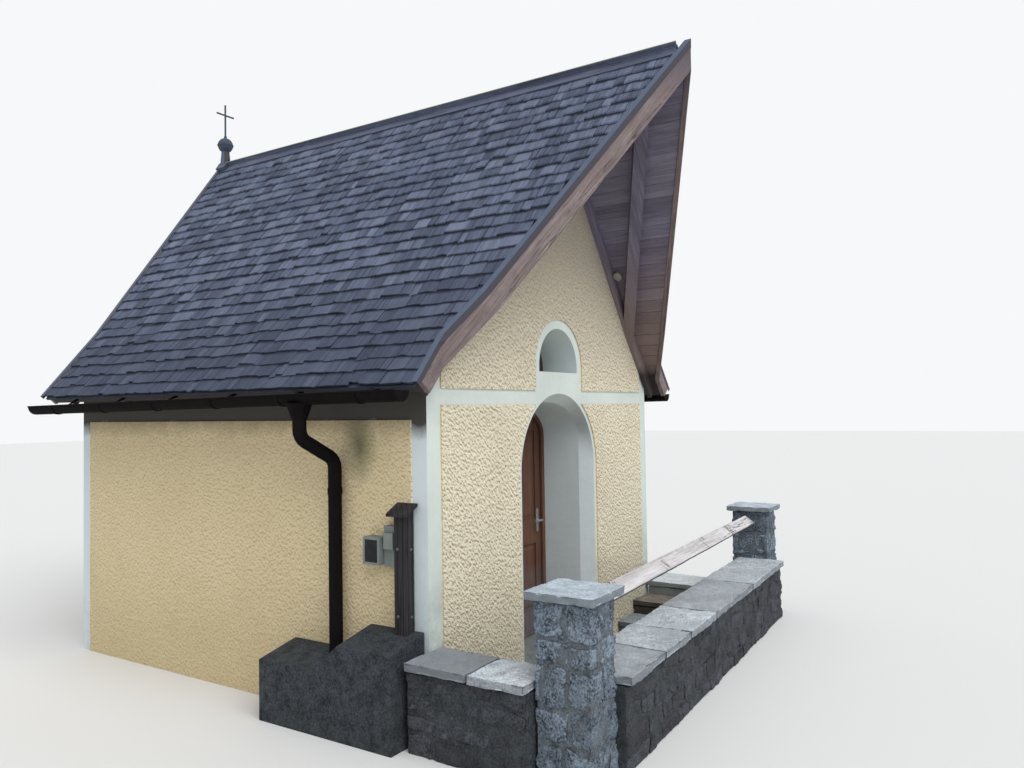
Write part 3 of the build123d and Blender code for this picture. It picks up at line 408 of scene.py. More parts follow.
class Tree:
    """Shader nodes of one material, and its colour, which is built up in layers."""

    def __init__(self, name: str) -> None:
        """Starts an empty material with its shader, its output and the object's coordinates.

        Args:
            name: Name of the material.
        """
        self.material = bpy.data.materials.new(name)
        self.material.use_nodes = True
        self.nodes = self.material.node_tree.nodes
        self.links = self.material.node_tree.links
        self.nodes.clear()
        self.shader = self.nodes.new("ShaderNodeBsdfPrincipled")
        output = self.nodes.new("ShaderNodeOutputMaterial")
        self.links.new(self.shader.outputs[0], output.inputs[0])
        self.place = self.add("TexCoord", "Object", {})
        self.height = self.place.dot(UP)
        self.colour: object = (0.8, 0.8, 0.8)

    def plug(self, socket: bpy.types.NodeSocket, value: object) -> None:
        """Links a socket, or sets its value.

        Args:
            socket: The input to fill.
            value: A wire, a number, or a sequence of numbers.
        """
        if isinstance(value, Wire):
            self.links.new(value.socket, socket)
        elif isinstance(value, (int, float)):
            socket.default_value = value
        else:
            size = len(socket.default_value)
            socket.default_value = tuple(value) + (1.0,) * (size - len(value))

    def add(self, kind: str, output: object, inputs: dict[object, object], **settings: object) -> Wire:
        """Adds a node.

        Args:
            kind: Blender's name of the node without its "ShaderNode".
            output: Name or number of the output that is used.
            inputs: Values of its inputs by name or number.
            **settings: Properties of the node.

        Returns:
            The output.
        """
        node = self.nodes.new(f"ShaderNode{kind}")
        for key, value in settings.items():
            setattr(node, key, value)
        for key, value in inputs.items():
            self.plug(node.inputs[key], value)
        return Wire(self, node.outputs[output])

    def math(self, operation: str, a: object, b: object = 0.0) -> Wire:
        """A number operation of one or two operands."""
        return self.add("Math", 0, {0: a, 1: b}, operation=operation)

    def attribute(self, name: str, output: str = "Fac") -> Wire:
        """A mesh attribute, as its "Fac" or its "Vector"."""
        return self.add("Attribute", output, {}, attribute_name=name)

    def turned(self, axes: Sequence[Sequence[float]]) -> Wire:
        """The position's coordinates along three directions."""
        return self.add("CombineXYZ", 0, {index: self.place.dot(axis) for index, axis in enumerate(axes)})

    def facing(self, toward: RGB) -> Wire:
        """1 where the surface faces a direction, 0 where it lies along it, -1 where it faces away."""
        return self.add("TexCoord", "Normal", {}).dot(toward)

    def bump(self, height: Wire, distance: float, under: Optional[Wire] = None) -> Wire:
        """Relief from a height of 0 to 1 times a distance, on a coarser relief or none."""
        inputs = {"Height": height, "Distance": distance, "Strength": 1.0}
        return self.add("Bump", 0, inputs if under is None else {**inputs, "Normal": under})

    def ramp(self, value: Wire, stops: Sequence[tuple[float, RGB]]) -> None:
        """Starts the colour with colours along a value.

        Args:
            value: What is looked up.
            stops: Positions and their colours, rising.
        """
        node = self.nodes.new("ShaderNodeValToRGB")
        band = node.color_ramp
        while len(band.elements) < len(stops):
            band.elements.new(0.5)
        for element, (at, colour) in zip(band.elements, stops):
            element.position, element.color = at, (*colour, 1.0)
        self.plug(node.inputs[0], value)
        self.colour = Wire(self, node.outputs[0])

    def lay(self, share: Wire, shade: RGB) -> None:
        """Lays a shade over the colour, as much as the share says."""
        self.colour = self.add("Mix", 2, {0: share, 6: self.colour, 7: shade}, data_type="RGBA")

    def under_eaves(self, shade: RGB, share: float) -> None:
        """Stain and painted shade that darken the long walls just under the eaves.

        Args:
            shade: Colour of the stain and painted shade.
            share: How much of it shows at the top.
        """
        across, out = self.facing(LEFT), self.place.dot(LEFT)
        side = (across * across).step(0.3, 0.7) * (out * out).step(*LONG_WALL)
        ragged = self.height + self.place.noise(5.0, 4.0, 0.6) * 0.16
        self.lay(side * ragged.step(*EAVE_DARKENING) * share, shade)

    def finish(self, rough: object, normal: Optional[Wire] = None, metal: float = 0.0,
               sheen: float = 0.2) -> bpy.types.Material:
        """Fills the shader.

        Args:
            rough: Roughness.
            normal: Normal of the relief, or None.
            metal: Metallic share.
            sheen: Specular level.

        Returns:
            The finished material.
        """
        inputs = {"Base Color": self.colour, "Roughness": rough, "Metallic": metal,
                  "Specular IOR Level": sheen}
        for key, value in inputs.items():
            self.plug(self.shader.inputs[key], value)
        if normal is not None:
            self.plug(self.shader.inputs["Normal"], normal)
        return self.material


@dataclass(frozen=True)
class Wood:
    """Weathered timber with grain along one direction.

    Each level is a band of another shade by height: where it starts, where it is full, the shade, its share;
    some levels are painted shade.
    """

    name: str
    light: RGB
    dark: RGB
    worn: RGB
    worn_share: float = 0.3
    along: RGB = (0.0, 1.0, 0.0)
    own_grain: bool = False
    own_tone: float = 0.0
    fibre: float = 90.0
    relief: float = 0.0025
    rough: float = 0.75
    painted_lap_shade: bool = False
    plank: float = 0.0
    cracked: float = 0.0
    checks: float = 0.0
    top: Optional[RGB] = None
    levels: tuple[tuple[float, float, RGB, float], ...] = ()

    def grain(self, tree: Tree) -> Wire:
        """Position along and across the grain.

        Args:
            tree: The material's nodes.

        Returns:
            The mesh's own grain, or coordinates of the object turned to the grain.
        """
        if self.own_grain:
            return tree.attribute("grain", "Vector")
        first = Vector(self.along).normalized()
        second = first.orthogonal().normalized()
        return tree.turned((first, second, first.cross(second)))

    def build(self) -> bpy.types.Material:
        """Makes the material.

        Returns:
            The finished material.
        """
        tree = Tree(self.name)
        place = self.grain(tree)
        stretched = place.scaled((0.045, 1.0, 1.0))
        fibres, bands = stretched.noise(self.fibre, 6.0, 0.65), stretched.noise(self.fibre * 0.18, 2.0, 0.5)
        tree.ramp(fibres * 0.6 + bands * 0.4, ((0.34, self.dark), (0.66, self.light)))
        share = self.worn_share
        wear = tree.place.noise(3.1, 4.0, 0.6).step(0.62 - 0.35 * share, 0.78 - 0.2 * share)
        tree.lay(wear * fibres.step(0.3, 0.62) * (share * 1.6), self.worn)
        if self.own_tone:
            tone = tree.attribute("tone")
            tree.lay(tone.step(0.45, 1.0) * self.own_tone, self.worn)
            tree.lay(tone.step(0.5, 0.0) * self.own_tone, dim(self.dark, 0.45))
        # painted shade where the lit value is low: under the course above, on butt ends and in the gaps
        if self.painted_lap_shade:
            tree.lay(tree.attribute("lit").step(0.56, 0.44) * 0.85, dim(self.dark, 0.25))
        if self.plank:
            across = tree.math("FRACT", tree.place.dot((1 / self.plank, -1 / self.plank, 0.0)))
            tree.lay(abs(across - 0.5).step(0.42, 0.47), dim(self.dark, 0.2))
        if self.cracked:
            crack = stretched.cracks(14.0, 0.014)
            if self.checks:
                crack = tree.math("MAXIMUM", crack, place.scaled((1.0, 0.3, 0.3)).cracks(self.checks, 0.02))
            tree.lay(crack * self.cracked, dim(self.dark, 0.4))
        if self.top:
            tree.lay(tree.facing(UP).step(0.6, 0.8), self.top)
        for start, full, shade, most in self.levels:
            tree.lay(tree.height.step(start, full) * most, shade)
        return tree.finish(fibres * 0.16 + (self.rough - 0.08), tree.bump(fibres, self.relief))


@dataclass(frozen=True)
class Plaster:
    """Smooth limewash with fine trowel marks, stains, dirt rising from the ground, a painted bluish shade on
    faces turned left, and stain with painted shade under the eaves.
    """

    name: str
    clean: RGB
    shade: RGB
    dirt: RGB
    sky_shade_tint: RGB
    eave_stain_and_shade: RGB = (0.045, 0.038, 0.03)
    dirt_top: float = 0.9
    relief: float = 0.004

    def build(self) -> bpy.types.Material:
        """Makes the material.

        Returns:
            The finished material.
        """
        tree = Tree(self.name)
        broad, fine = tree.place.noise(1.7, 5.0, 0.6), tree.place.noise(38.0, 5.0, 0.6)
        tree.colour = self.clean
        tree.lay(broad.step(0.4, 0.7), self.shade)
        tree.lay(fine.step(0.55, 0.75) * 0.25, self.shade)
        low = (tree.height - broad * 0.7).step(self.dirt_top - 0.35, self.dirt_top - 0.95)
        tree.lay(low * tree.place.noise(14.0, 6.0, 0.7).step(0.35, 0.62) * 0.7, self.dirt)
        # painted bluish sky shade on faces turned to the left
        tree.lay(tree.facing(LEFT).step(0.5, 0.9) * 0.7, self.sky_shade_tint)
        # stain and painted shade just under the eaves
        tree.under_eaves(self.eave_stain_and_shade, 0.96)
        coarse = tree.bump(tree.place.noise(9.0, 4.0, 0.5), self.relief)
        return tree.finish(0.85, tree.bump(fine, self.relief * 0.25, coarse))


@dataclass(frozen=True)
class Roughcast:
    """Coarse thrown plaster: slanting lumps with painted shade just under each lump and a painted highlight
    on their upper sides, greyer high on the gables.
    """

    name: str
    lit_crest: RGB
    body: RGB
    hollow_shade_and_stain: RGB
    dirt: RGB
    weathered: RGB
    ochre: RGB
    eave_stain_and_shade: RGB = (0.30, 0.24, 0.14)
    moss: RGB = (0.10, 0.115, 0.055)
    mossy_place: RGB = (-1.77, -1.40, 1.86)
    slant: tuple[RGB, RGB, RGB] = ((0.43, 0.22, -0.48), (0.74, 0.0, 0.67), (0.0, 1.0, 0.0))
    light_from: RGB = (-0.0034, 0.0047, 0.0)
    grain: float = 58.0
    relief: float = 0.008

    def build(self) -> bpy.types.Material:
        """Makes the material.

        Returns:
            The finished material.
        """
        tree = Tree(self.name)
        slanting = tree.turned(self.slant)
        lumps, grains = slanting.noise(self.grain, 2.0, 0.5), tree.place.noise(self.grain * 2.2, 2.0, 0.55)
        height = (lumps * 0.5 + grains * 0.5).step(0.37, 0.63)
        # painted shade and highlight: the lumps a little higher up decide where each spot is shaded or lit
        above = slanting.moved(self.light_from).noise(self.grain, 2.0, 0.5)
        painted_light_share = (lumps - above).step(-0.13, 0.13) * 0.65 + height * 0.35
        tree.ramp(painted_light_share, ((0.2, self.hollow_shade_and_stain), (0.48, self.body), (0.75, self.lit_crest)))
        stain = tree.place.noise(1.3, 5.0, 0.6)
        tree.lay(stain.step(0.48, 0.75) * 0.25, self.hollow_shade_and_stain)
        rise = tree.height - stain * 0.6
        tree.lay(rise.step(0.62, 0.05) * grains.step(0.36, 0.6) * 0.6, self.dirt)
        tree.lay(rise.step(1.9, 3.1) * 0.72, self.weathered)
        across = tree.facing(LEFT)
        tree.lay((across * across).step(0.3, 0.7) * 0.5, self.ochre)
        # stain and painted shade just under the eaves
        tree.under_eaves(self.eave_stain_and_shade, 0.6)
        away = tuple(-value for value in self.mossy_place)
        reach = tree.place.moved(away).scaled((1.0, 1.0, 0.55))
        distance = tree.math("SQRT", reach.dot(reach))
        tree.lay((distance + stain * 0.22).step(0.27, 0.10) * 0.8, self.moss)
        return tree.finish(0.92, tree.bump(height, self.relief))


@dataclass(frozen=True)
class Stone:
    """Split granite or other stone with crystals, tone per block, grime and painted shade on faces that don't
    look up.
    """

    name: str
    light: RGB
    dark: RGB
    grime: RGB
    grime_share: float = 0.35
    crystal: float = 72.0
    relief: float = 0.006
    own_tone: float = 0.6
    painted_side_shade: float = 0.0
    cracked: float = 0.0

    def build(self) -> bpy.types.Material:
        """Makes the material.

        Returns:
            The finished material.
        """
        tree = Tree(self.name)
        speck, patch = tree.place.noise(self.crystal, 3.0, 0.7), tree.place.noise(11.0, 5.0, 0.65)
        tree.ramp(speck * 0.55 + patch * 0.45, ((0.40, self.dark), (0.60, self.light)))
        tree.lay(tree.attribute("tone") * self.own_tone, dim(self.dark, 0.6))
        stain = tree.place.noise(2.6, 4.0, 0.6).step(0.42, 0.66) * patch.step(0.35, 0.6)
        tree.lay(stain * self.grime_share, self.grime)
        # painted shade on faces that do not look up, such as slab edges and risers
        if self.painted_side_shade:
            tree.lay(tree.facing(UP).step(0.75, 0.35) * self.painted_side_shade, dim(self.dark, 0.35))
        if self.cracked:
            layered = tree.place.scaled((0.5, 1.0, 1.0))
            tree.lay(layered.cracks(3.4, 0.009) * self.cracked, dim(self.dark, 0.4))
        return tree.finish(0.86, tree.bump(speck, self.relief * 0.2, tree.bump(patch, self.relief)))


@dataclass(frozen=True)
class Metal:
    """Painted or bare sheet metal with weather streaks, and painted shade on its front faces where a front
    colour is given.
    """

    name: str
    colour: RGB
    stain: RGB
    share: float = 0.4
    rough: float = 0.5
    metal: float = 0.0
    sheen: float = 0.5
    relief: float = 0.0006
    front: Optional[RGB] = None

    def build(self) -> bpy.types.Material:
        """Makes the material.

        Returns:
            The finished material.
        """
        tree = Tree(self.name)
        streak = tree.place.scaled((1.0, 1.0, 0.25)).noise(16.0, 5.0, 0.65)
        tree.colour = self.colour
        tree.lay(streak.step(0.42, 0.68) * self.share, self.stain)
        # painted shade on faces turned to the front
        if self.front:
            facing = tree.facing(FRONT)
            tree.lay((facing * facing).step(0.3, 0.5), self.front)
        normal = tree.bump(tree.place.noise(120.0, 3.0, 0.6), self.relief)
        return tree.finish(streak * 0.2 + (self.rough - 0.08), normal, self.metal, self.sheen)


@dataclass(frozen=True)
class DoorWood:
    """Stained door timber that bleaches and turns grey-blue towards its foot."""

    name: str
    light: RGB = (0.175, 0.085, 0.055)
    dark: RGB = (0.06, 0.029, 0.021)
    bleached: RGB = (0.15, 0.155, 0.175)
    foot: float = 0.09

    def build(self) -> bpy.types.Material:
        """Makes the material.

        Returns:
            The finished material.
        """
        tree = Tree(self.name)
        upright = tree.place.scaled((1.0, 1.0, 0.045))
        fibres, bands = upright.noise(85.0, 6.0, 0.65), upright.noise(14.0, 2.0, 0.5)
        tree.ramp(fibres * 0.6 + bands * 0.4, ((0.32, self.dark), (0.68, self.light)))
        rise = tree.height - self.foot - tree.place.noise(4.5, 5.0, 0.65) * 0.6
        tree.lay(rise.step(0.34, -0.12) * fibres.step(0.3, 0.6) * 0.85, self.bleached)
        return tree.finish(fibres * 0.25 + 0.5, tree.bump(fibres, 0.0018))


@dataclass(frozen=True)
class Glass:
    """Dark window glass with faint dust."""

    name: str
    colour: RGB = (0.01, 0.012, 0.014)

    def build(self) -> bpy.types.Material:
        """Makes the material.

        Returns:
            The finished material.
        """
        tree = Tree(self.name)
        dust = tree.place.noise(20.0, 4.0, 0.6)
        tree.colour = self.colour
        tree.lay(dust.step(0.5, 0.8), dim(self.colour, 3.0))
        return tree.finish(dust * 0.12 + 0.06, tree.bump(dust, 0.0004))


class Palette:
    """All finishes of the chapel, each made once and looked up by name."""

    def __init__(self, roof: "RoofForm") -> None:
        """Builds every material.

        Args:
            roof: Form of the roof, along which the timbers' grain runs.
        """
        # soffit and rafter levels: redder from 3.6 m down, and near-black under 2.4 m, partly weathered board
        # ends and partly painted shade under the eaves
        under = dict(light=(0.275, 0.25, 0.335), dark=(0.115, 0.105, 0.14), worn=(0.30, 0.285, 0.345),
                     levels=((3.6, 2.8, (0.235, 0.165, 0.14), 0.75), (2.5, 2.4, (0.028, 0.025, 0.028), 0.9)))
        verge = dict(light=(0.26, 0.20, 0.20), dark=(0.11, 0.084, 0.08), worn=(0.33, 0.29, 0.285),
                     worn_share=0.4, cracked=0.8, levels=((4.35, 4.75, (0.08, 0.075, 0.1), 0.75),))
        rake = -tan(roof.main)
        finishes = [
            # the limewash's fourth colour is a painted bluish sky shade for faces turned left
            Plaster("limewash", (0.68, 0.745, 0.70), (0.58, 0.63, 0.59), (0.25, 0.26, 0.24),
                    (0.66, 0.735, 0.77)),
            # the roughcast's first colour is a painted highlight on lump tops, its third painted shade under
            # them that also colours stains
            Roughcast("roughcast", (0.99, 0.93, 0.73), (0.96, 0.885, 0.675), (0.54, 0.43, 0.275),
                      (0.30, 0.29, 0.23), (0.38, 0.33, 0.275), (0.80, 0.60, 0.27)),
            Wood("rafter", **under, along=(1.0, 0.0, rake), worn_share=0.15),
            Wood("soffit", **under, own_grain=True, own_tone=0.3, worn_share=0.2),
            # the shingle level darkens the roof towards the eaves, for damp and painted shade
            Wood("shingle", light=(0.162, 0.197, 0.295), dark=(0.037, 0.045, 0.07), worn=(0.24, 0.275, 0.37),
                 levels=((3.3, 2.5, (0.04, 0.049, 0.076), 0.55),), own_grain=True, own_tone=0.42,
                 worn_share=0.25, fibre=120.0, relief=0.006, rough=0.85, painted_lap_shade=True),
            Wood("barge_left", **verge, along=(1.0, -roof.lean, -rake)),
            Wood("barge_right", **verge, along=(1.0, roof.lean, rake)),
            Wood("barge_rear", **verge, along=UP),
            Wood("ridge", light=(0.138, 0.16, 0.235), dark=(0.045, 0.054, 0.083), worn=(0.215, 0.235, 0.28),
                 top=(0.30, 0.29, 0.22)),
            # the rail's level is painted shade on the plank's lower edge
            Wood("rail", light=(0.80, 0.775, 0.79), dark=(0.40, 0.375, 0.38), worn=(0.84, 0.82, 0.83),
                 along=(1.0, 0.048, 0.0), worn_share=0.4, relief=0.004, cracked=1.0, checks=5.5,
                 levels=((RAIL_LOW + 0.020, RAIL_LOW + 0.013, (0.08, 0.085, 0.10), 0.97),)),
            Wood("cover", light=(0.044, 0.042, 0.047), dark=(0.012, 0.0115, 0.0125),
                 worn=(0.085, 0.08, 0.085), along=UP, worn_share=0.2, plank=0.045, cracked=0.8),
            Wood("window_frame", light=(0.14, 0.10, 0.075), dark=(0.06, 0.045, 0.035),
                 worn=(0.2, 0.18, 0.16)),
            DoorWood("door"),
            Stone("granite", (0.325, 0.405, 0.49), (0.028, 0.036, 0.048), (0.055, 0.062, 0.065), own_tone=0.5,
                  relief=0.014),
            Stone("cap_granite", (0.61, 0.70, 0.78), (0.34, 0.39, 0.44), (0.17, 0.18, 0.18), own_tone=0.2,
                  painted_side_shade=0.75, cracked=0.3),
            Stone("slab_granite", (0.84, 0.92, 0.99), (0.36, 0.39, 0.43), (0.15, 0.16, 0.16), own_tone=0.82,
                  painted_side_shade=0.6, grime_share=0.5, cracked=0.6),
            Stone("mortar", (0.17, 0.20, 0.225), (0.06, 0.07, 0.082), (0.05, 0.055, 0.055), own_tone=0.0),
            Stone("wall_stone", (0.105, 0.112, 0.128), (0.024, 0.026, 0.03), (0.028, 0.03, 0.03),
                  relief=0.012),
            Stone("wall_mortar", (0.07, 0.077, 0.085), (0.024, 0.027, 0.03), (0.024, 0.026, 0.026),
                  own_tone=0.0),
            Stone("cement", (0.066, 0.075, 0.086), (0.016, 0.018, 0.021), (0.028, 0.033, 0.026), own_tone=0.0,
                  relief=0.012, cracked=0.6),
            Stone("step_blue", (0.34, 0.39, 0.42), (0.19, 0.22, 0.24), (0.12, 0.12, 0.12), painted_side_shade=0.8),
            Stone("step_brown", (0.27, 0.24, 0.20), (0.125, 0.11, 0.095), (0.08, 0.075, 0.065),
                  painted_side_shade=0.8),
            Stone("step_white", (0.78, 0.85, 0.89), (0.48, 0.52, 0.53), (0.10, 0.105, 0.11), own_tone=0.2,
                  painted_side_shade=0.9),
            Stone("floor_stone", (0.25, 0.27, 0.26), (0.13, 0.14, 0.135), (0.09, 0.095, 0.09), own_tone=0.0),
            Metal("gutter", (0.006, 0.005, 0.005), (0.014, 0.012, 0.012), rough=0.8, sheen=0.06),
            # the flashing's front colour is painted shade on the drip faces
            Metal("flashing", (0.09, 0.12, 0.175), (0.13, 0.155, 0.205), rough=0.7, sheen=0.2,
                  front=(0.062, 0.06, 0.074)),
            Metal("finial", (0.05, 0.068, 0.10), (0.11, 0.13, 0.17), rough=0.6, sheen=0.2),
            Metal("handle", (0.55, 0.56, 0.57), (0.35, 0.35, 0.34), rough=0.35, metal=0.9),
            Metal("bolt", (0.11, 0.105, 0.105), (0.07, 0.055, 0.045), metal=0.4),
            Metal("lamp", (0.30, 0.29, 0.27), (0.17, 0.16, 0.15), sheen=0.3),
            Metal("cabinet", (0.21, 0.24, 0.225), (0.12, 0.14, 0.13), share=0.6, sheen=0.3),
            Metal("meter_frame", (0.36, 0.38, 0.33), (0.2, 0.2, 0.17), sheen=0.3),
            Glass("glass"),
        ]
        self.found: dict[str, bpy.types.Material] = {one.name: one.build() for one in finishes}

    def dress(self, thing: bpy.types.Object, name: str) -> None:
        """Gives an object one finish.

        Args:
            thing: The object.
            name: Name of the finish.
        """
        if not thing.material_slots:
            thing.data.materials.append(self.found[name])
        for slot in thing.material_slots:
            slot.material = self.found[name]

    def show(self, buffer: MeshBuffer, name: str, finish: str, slot: str, smooth: bool = False,
             node: str = "") -> bpy.types.Object:
        """Builds a piece and gives it its finish.

        Args:
            buffer: The mesh data.
            name: Object name.
            finish: Name of the finish.
            slot: The record's material slot; not used.
            smooth: Whether it is shaded smooth.
            node: The CAD node that it replaces, or nothing.

        Returns:
            The piece.
        """
        made = buffer.build(name, smooth)
        self.dress(made, finish)
        if node:
            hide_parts(node)
        return made


# ---- sub-assemblies ----


@dataclass(frozen=True)
class RoofForm:
    """Section and plan of the roof, in metres."""

    ridge: float = 4.864
    main: float = radians(53.0)
    flare: float = radians(48.7)
    bend: float = 1.508
    eave: float = 2.036
    tip: float = -3.165
    lean: float = 0.583
    foot: float = -2.132
    rear_ridge: float = 2.305
    rear_foot: float = 2.155
    board_back: float = 0.035
    barge: float = 0.0403

    def line(self, depth: float) -> Points:
        """Section line at a depth below the shingle tops.

        Args:
            depth: Depth in metres.

        Returns:
            The points (x, z) of the apex, the bend and the eave.
        """
        apex = self.ridge - depth / cos(self.main)
        shift = depth * (1 / cos(self.flare) - 1 / cos(self.main)) / (tan(self.main) - tan(self.flare))
        bend = (self.bend + shift, apex - (self.bend + shift) * tan(self.main))
        top = self.ridge - self.bend * tan(self.main)
        eave = top - (self.eave - self.bend) * tan(self.flare)
        end = (self.eave - depth * sin(self.flare), eave - depth * cos(self.flare))
        return np.array([(0.0, apex), bend, end])

    def at(self, share: Points, depth: Points) -> Points:
        """Points of the section between its lines.

        Formula: the lines at depth 0 and at 0.1 are walked at the same share, with the bend at share
        1, and the two points are extended in a straight line to the depth.

        Args:
            share: From 0 at the ridge over 1 at the bend to 2 at the eave.
            depth: Depths in metres, of the same shape.

        Returns:
            Positions (..., 2) as x and z.
        """
        reach = 0.1
        upper, lower = (np.stack([np.interp(share, (0.0, 1.0, 2.0), line[:, i]) for i in (0, 1)], -1)
                        for line in (self.line(0.0), self.line(reach)))
        return upper + (lower - upper) * (np.asarray(depth) / reach)[..., None]

    def front(self, x: Points, inset: float = 0.0) -> Points:
        """Front verge's y at distances from the ridge: a slope from the tip, cut off square at the foot."""
        tip = self.tip + inset * hypot(1, self.lean)
        return np.minimum(tip + self.lean * np.abs(x), self.foot + inset)

    def rear(self, x: Points, inset: float = 0.0) -> Points:
        """Rear verge's y at distances from the ridge."""
        fall = (self.rear_ridge - self.rear_foot) / self.eave
        return self.rear_ridge - inset - fall * np.abs(x)

    def lengths(self) -> tuple[float, float]:
        """Slope lengths on top, from the ridge to the bend and from there to the eave."""
        top = self.line(0.0)
        return hypot(*(top[1] - top[0])), hypot(*(top[2] - top[1]))

    def share(self, along: Points) -> Points:
        """Section shares from 0 to 2 of distances down the slope."""
        first, second = self.lengths()
        return np.where(along < first, along / first, 1 + (along - first) / second)


def shingle_quads() -> Points:
    """Faces of a split shingle, whose corners are numbered across, along and through it.

    Returns:
        Quads (q, 4).
    """
    number = np.arange(12).reshape(3, 2, 2)
    quads = []
    for a, b in zip(number[:-1], number[1:]):
        quads += [(a[0, 0], b[0, 0], b[1, 0], a[1, 0]), (a[0, 1], a[1, 1], b[1, 1], b[0, 1]),
                  (a[0, 0], a[0, 1], b[0, 1], b[0, 0]), (a[1, 0], b[1, 0], b[1, 1], a[1, 1])]
    a, b = number[0], number[2]
    return np.array(quads + [(a[0, 0], a[1, 0], a[1, 1], a[0, 1]), (b[0, 0], b[0, 1], b[1, 1], b[1, 0])])


@dataclass(frozen=True)
class RoofCladding:
    """Split shingles over an underlay, the boards that show from below, and the sheets and ridge."""

    form: RoofForm
    palette: Palette
    courses: int = 27
    per_course: int = 70
    narrowest: float = 0.05
    width_range: float = 0.19
    narrow_rest: float = 0.012
    split: tuple[float, float] = (0.002, 0.007)
    first_shift: float = 0.15
    butt_spread: float = 0.006
    head_reach: float = 1.75
    ridge_free: float = 0.14
    lift: tuple[float, float] = (1.6, 0.0011)
    tilt: float = 0.0022
    cup: float = 0.0025
    ragged: float = 0.0035
    thick: float = 0.017
    butt_depth: float = 0.006
    head_depth: float = 0.026
    head_thick: float = 0.004
    least_depth: float = 0.0006
    underlay: tuple[float, float] = (0.0305, 0.05)
    underlay_tone: float = 0.1
    boarding: tuple[float, float] = (0.0503, 0.13)
    board: float = 0.132
    board_gap: float = 0.004
    sheet_width: float = 0.042
    sheet_face: float = 0.034
    sheet: float = 0.003
    ridge_width: float = 0.128
    ridge_depths: tuple[float, float] = (0.013, 0.037)
    ridge_cuts: tuple[float, float] = (-1.32, 0.55)
    ridge_lap: float = 0.022
    ridge_start: float = 0.107
    ridge_shift: float = 0.16
    ridge_joint: float = 0.0015
    saddle: tuple[float, float, float] = (0.1, -0.0268, 0.02)

    def prism(self, side: Side, shares: tuple[float, float],
              depths: tuple[float, float]) -> list[tuple[float, float, float]]:
        """Corners of one strip between two shares and two depths that ends behind both barge boards.

        Args:
            side: The slope.
            shares: Upper and lower section share.
            depths: Upper and lower depth.

        Returns:
            Eight corners, ordered by share, end and depth.
        """
        corners = []
        for share in shares:
            for verge in (self.form.front, self.form.rear):
                for depth in depths:
                    x, z = self.form.at(np.array(share), np.array(depth))
                    corners.append((side.value * x, float(verge(x, self.form.barge)), z))
        return corners

    def shingles(self, side: Side, seed: int = 7) -> bpy.types.Object:
        """Courses of split shingles over an underlay.

        Formula: the slope length is cut into equal exposures, with the butts of one course at the end
        of each; within a course the widths are random and add up to the length of the roof. Each
        shingle is a thin tapered box from its butt, near the surface, to its head, under the two
        courses above; its middle line cups up or down a little and its butt is ragged. Corners past
        a verge are moved back to the verge line.

        Args:
            side: The slope.
            seed: Seed of the widths, lifts and tones.

        Returns:
            The joined mesh.
        """
        form = self.form
        rng = np.random.default_rng(seed + side.value)
        total = sum(form.lengths())
        exposure = total / self.courses
        widths = self.narrowest + self.width_range * rng.beta(1.3, 2.0, (self.courses, self.per_course))
        ends = np.cumsum(widths, 1) + form.tip - rng.uniform(0, self.first_shift, (self.courses, 1))
        starts = ends - widths + rng.uniform(*self.split, widths.shape)
        butt = total - np.arange(self.courses)[:, None] * exposure
        butt = np.minimum(butt + rng.normal(0, self.butt_spread, widths.shape), total)
        head = np.maximum(butt - exposure * self.head_reach, 0.0)
        lift = rng.gamma(*self.lift, widths.shape)
        flat = [v.ravel() for v in (starts, ends, butt, head, lift)]
        x_butt = form.at(form.share(flat[2]), np.zeros_like(flat[2]))[:, 0]
        keep = (flat[1] > form.front(x_butt, form.barge) + self.narrow_rest) & (flat[2] > self.ridge_free)
        keep &= flat[0] < form.rear(x_butt, form.barge) - self.narrow_rest
        y0, y1, s_butt, s_head, lift = (v[keep] for v in flat)
        count = len(y0)
        tilt = rng.normal(0, self.tilt, (count, 3))
        tilt[:, 1] += rng.normal(0.0, self.cup, count)
        ragged = np.cumsum(rng.normal(0, self.ragged, (count, 3)), 1)
        grid = np.zeros((count, 3, 2, 2, 3))
        for i in range(3):
            tops = np.maximum(self.butt_depth - lift + tilt[:, i], self.least_depth)
            for j, (s, top, thick) in enumerate(((s_butt + ragged[:, i], tops, self.thick),
                                                 (s_head, np.full(count, self.head_depth), self.head_thick))):
                for k in (0, 1):
                    point = form.at(form.share(np.minimum(s, total)), top + thick * k)
                    low, high = form.front(point[:, 0], form.barge), form.rear(point[:, 0], form.barge)
                    y = np.clip(y0 + (y1 - y0) * i / 2, low, high)
                    grid[:, i, j, k] = np.stack([side.value * point[:, 0], y, point[:, 1]], -1)
        grain = np.zeros_like(grid)
        grain[..., 0] = np.stack([s_butt, s_head], -1)[:, None, :, None]
        grain[..., 1] = grid[..., 1]
        grain[..., 2] = rng.uniform(0, 9, count)[:, None, None, None]
        # lit is 1 only at each butt's upper edge; the shingle finish paints shade where it is low
        lit = np.zeros((3, 2, 2))
        lit[:, 0, 0] = 1.0
        quads = shingle_quads()[:, ::-side.value]
        buffer = MeshBuffer()
        buffer.add(grid.reshape(count, 12, 3), quads, rng.beta(1.6, 1.9, count), grain.reshape(count, 12, 3),
                   lit.ravel())
        kink = 1 + ((form.foot - form.tip) / form.lean - form.bend) / (form.eave - form.bend)
        for shares in ((0.0, 1.0), (1.0, kink), (kink, 2.0)):
            buffer.add_box(self.prism(side, shares, self.underlay), self.underlay_tone)
        LOG.info("%s: %d shingles", side.word, count)
        return self.palette.show(buffer, f"split_shingles_{side.word}", "shingle", "shingle_wood",
                                 node=f"shingles_{side.word}")

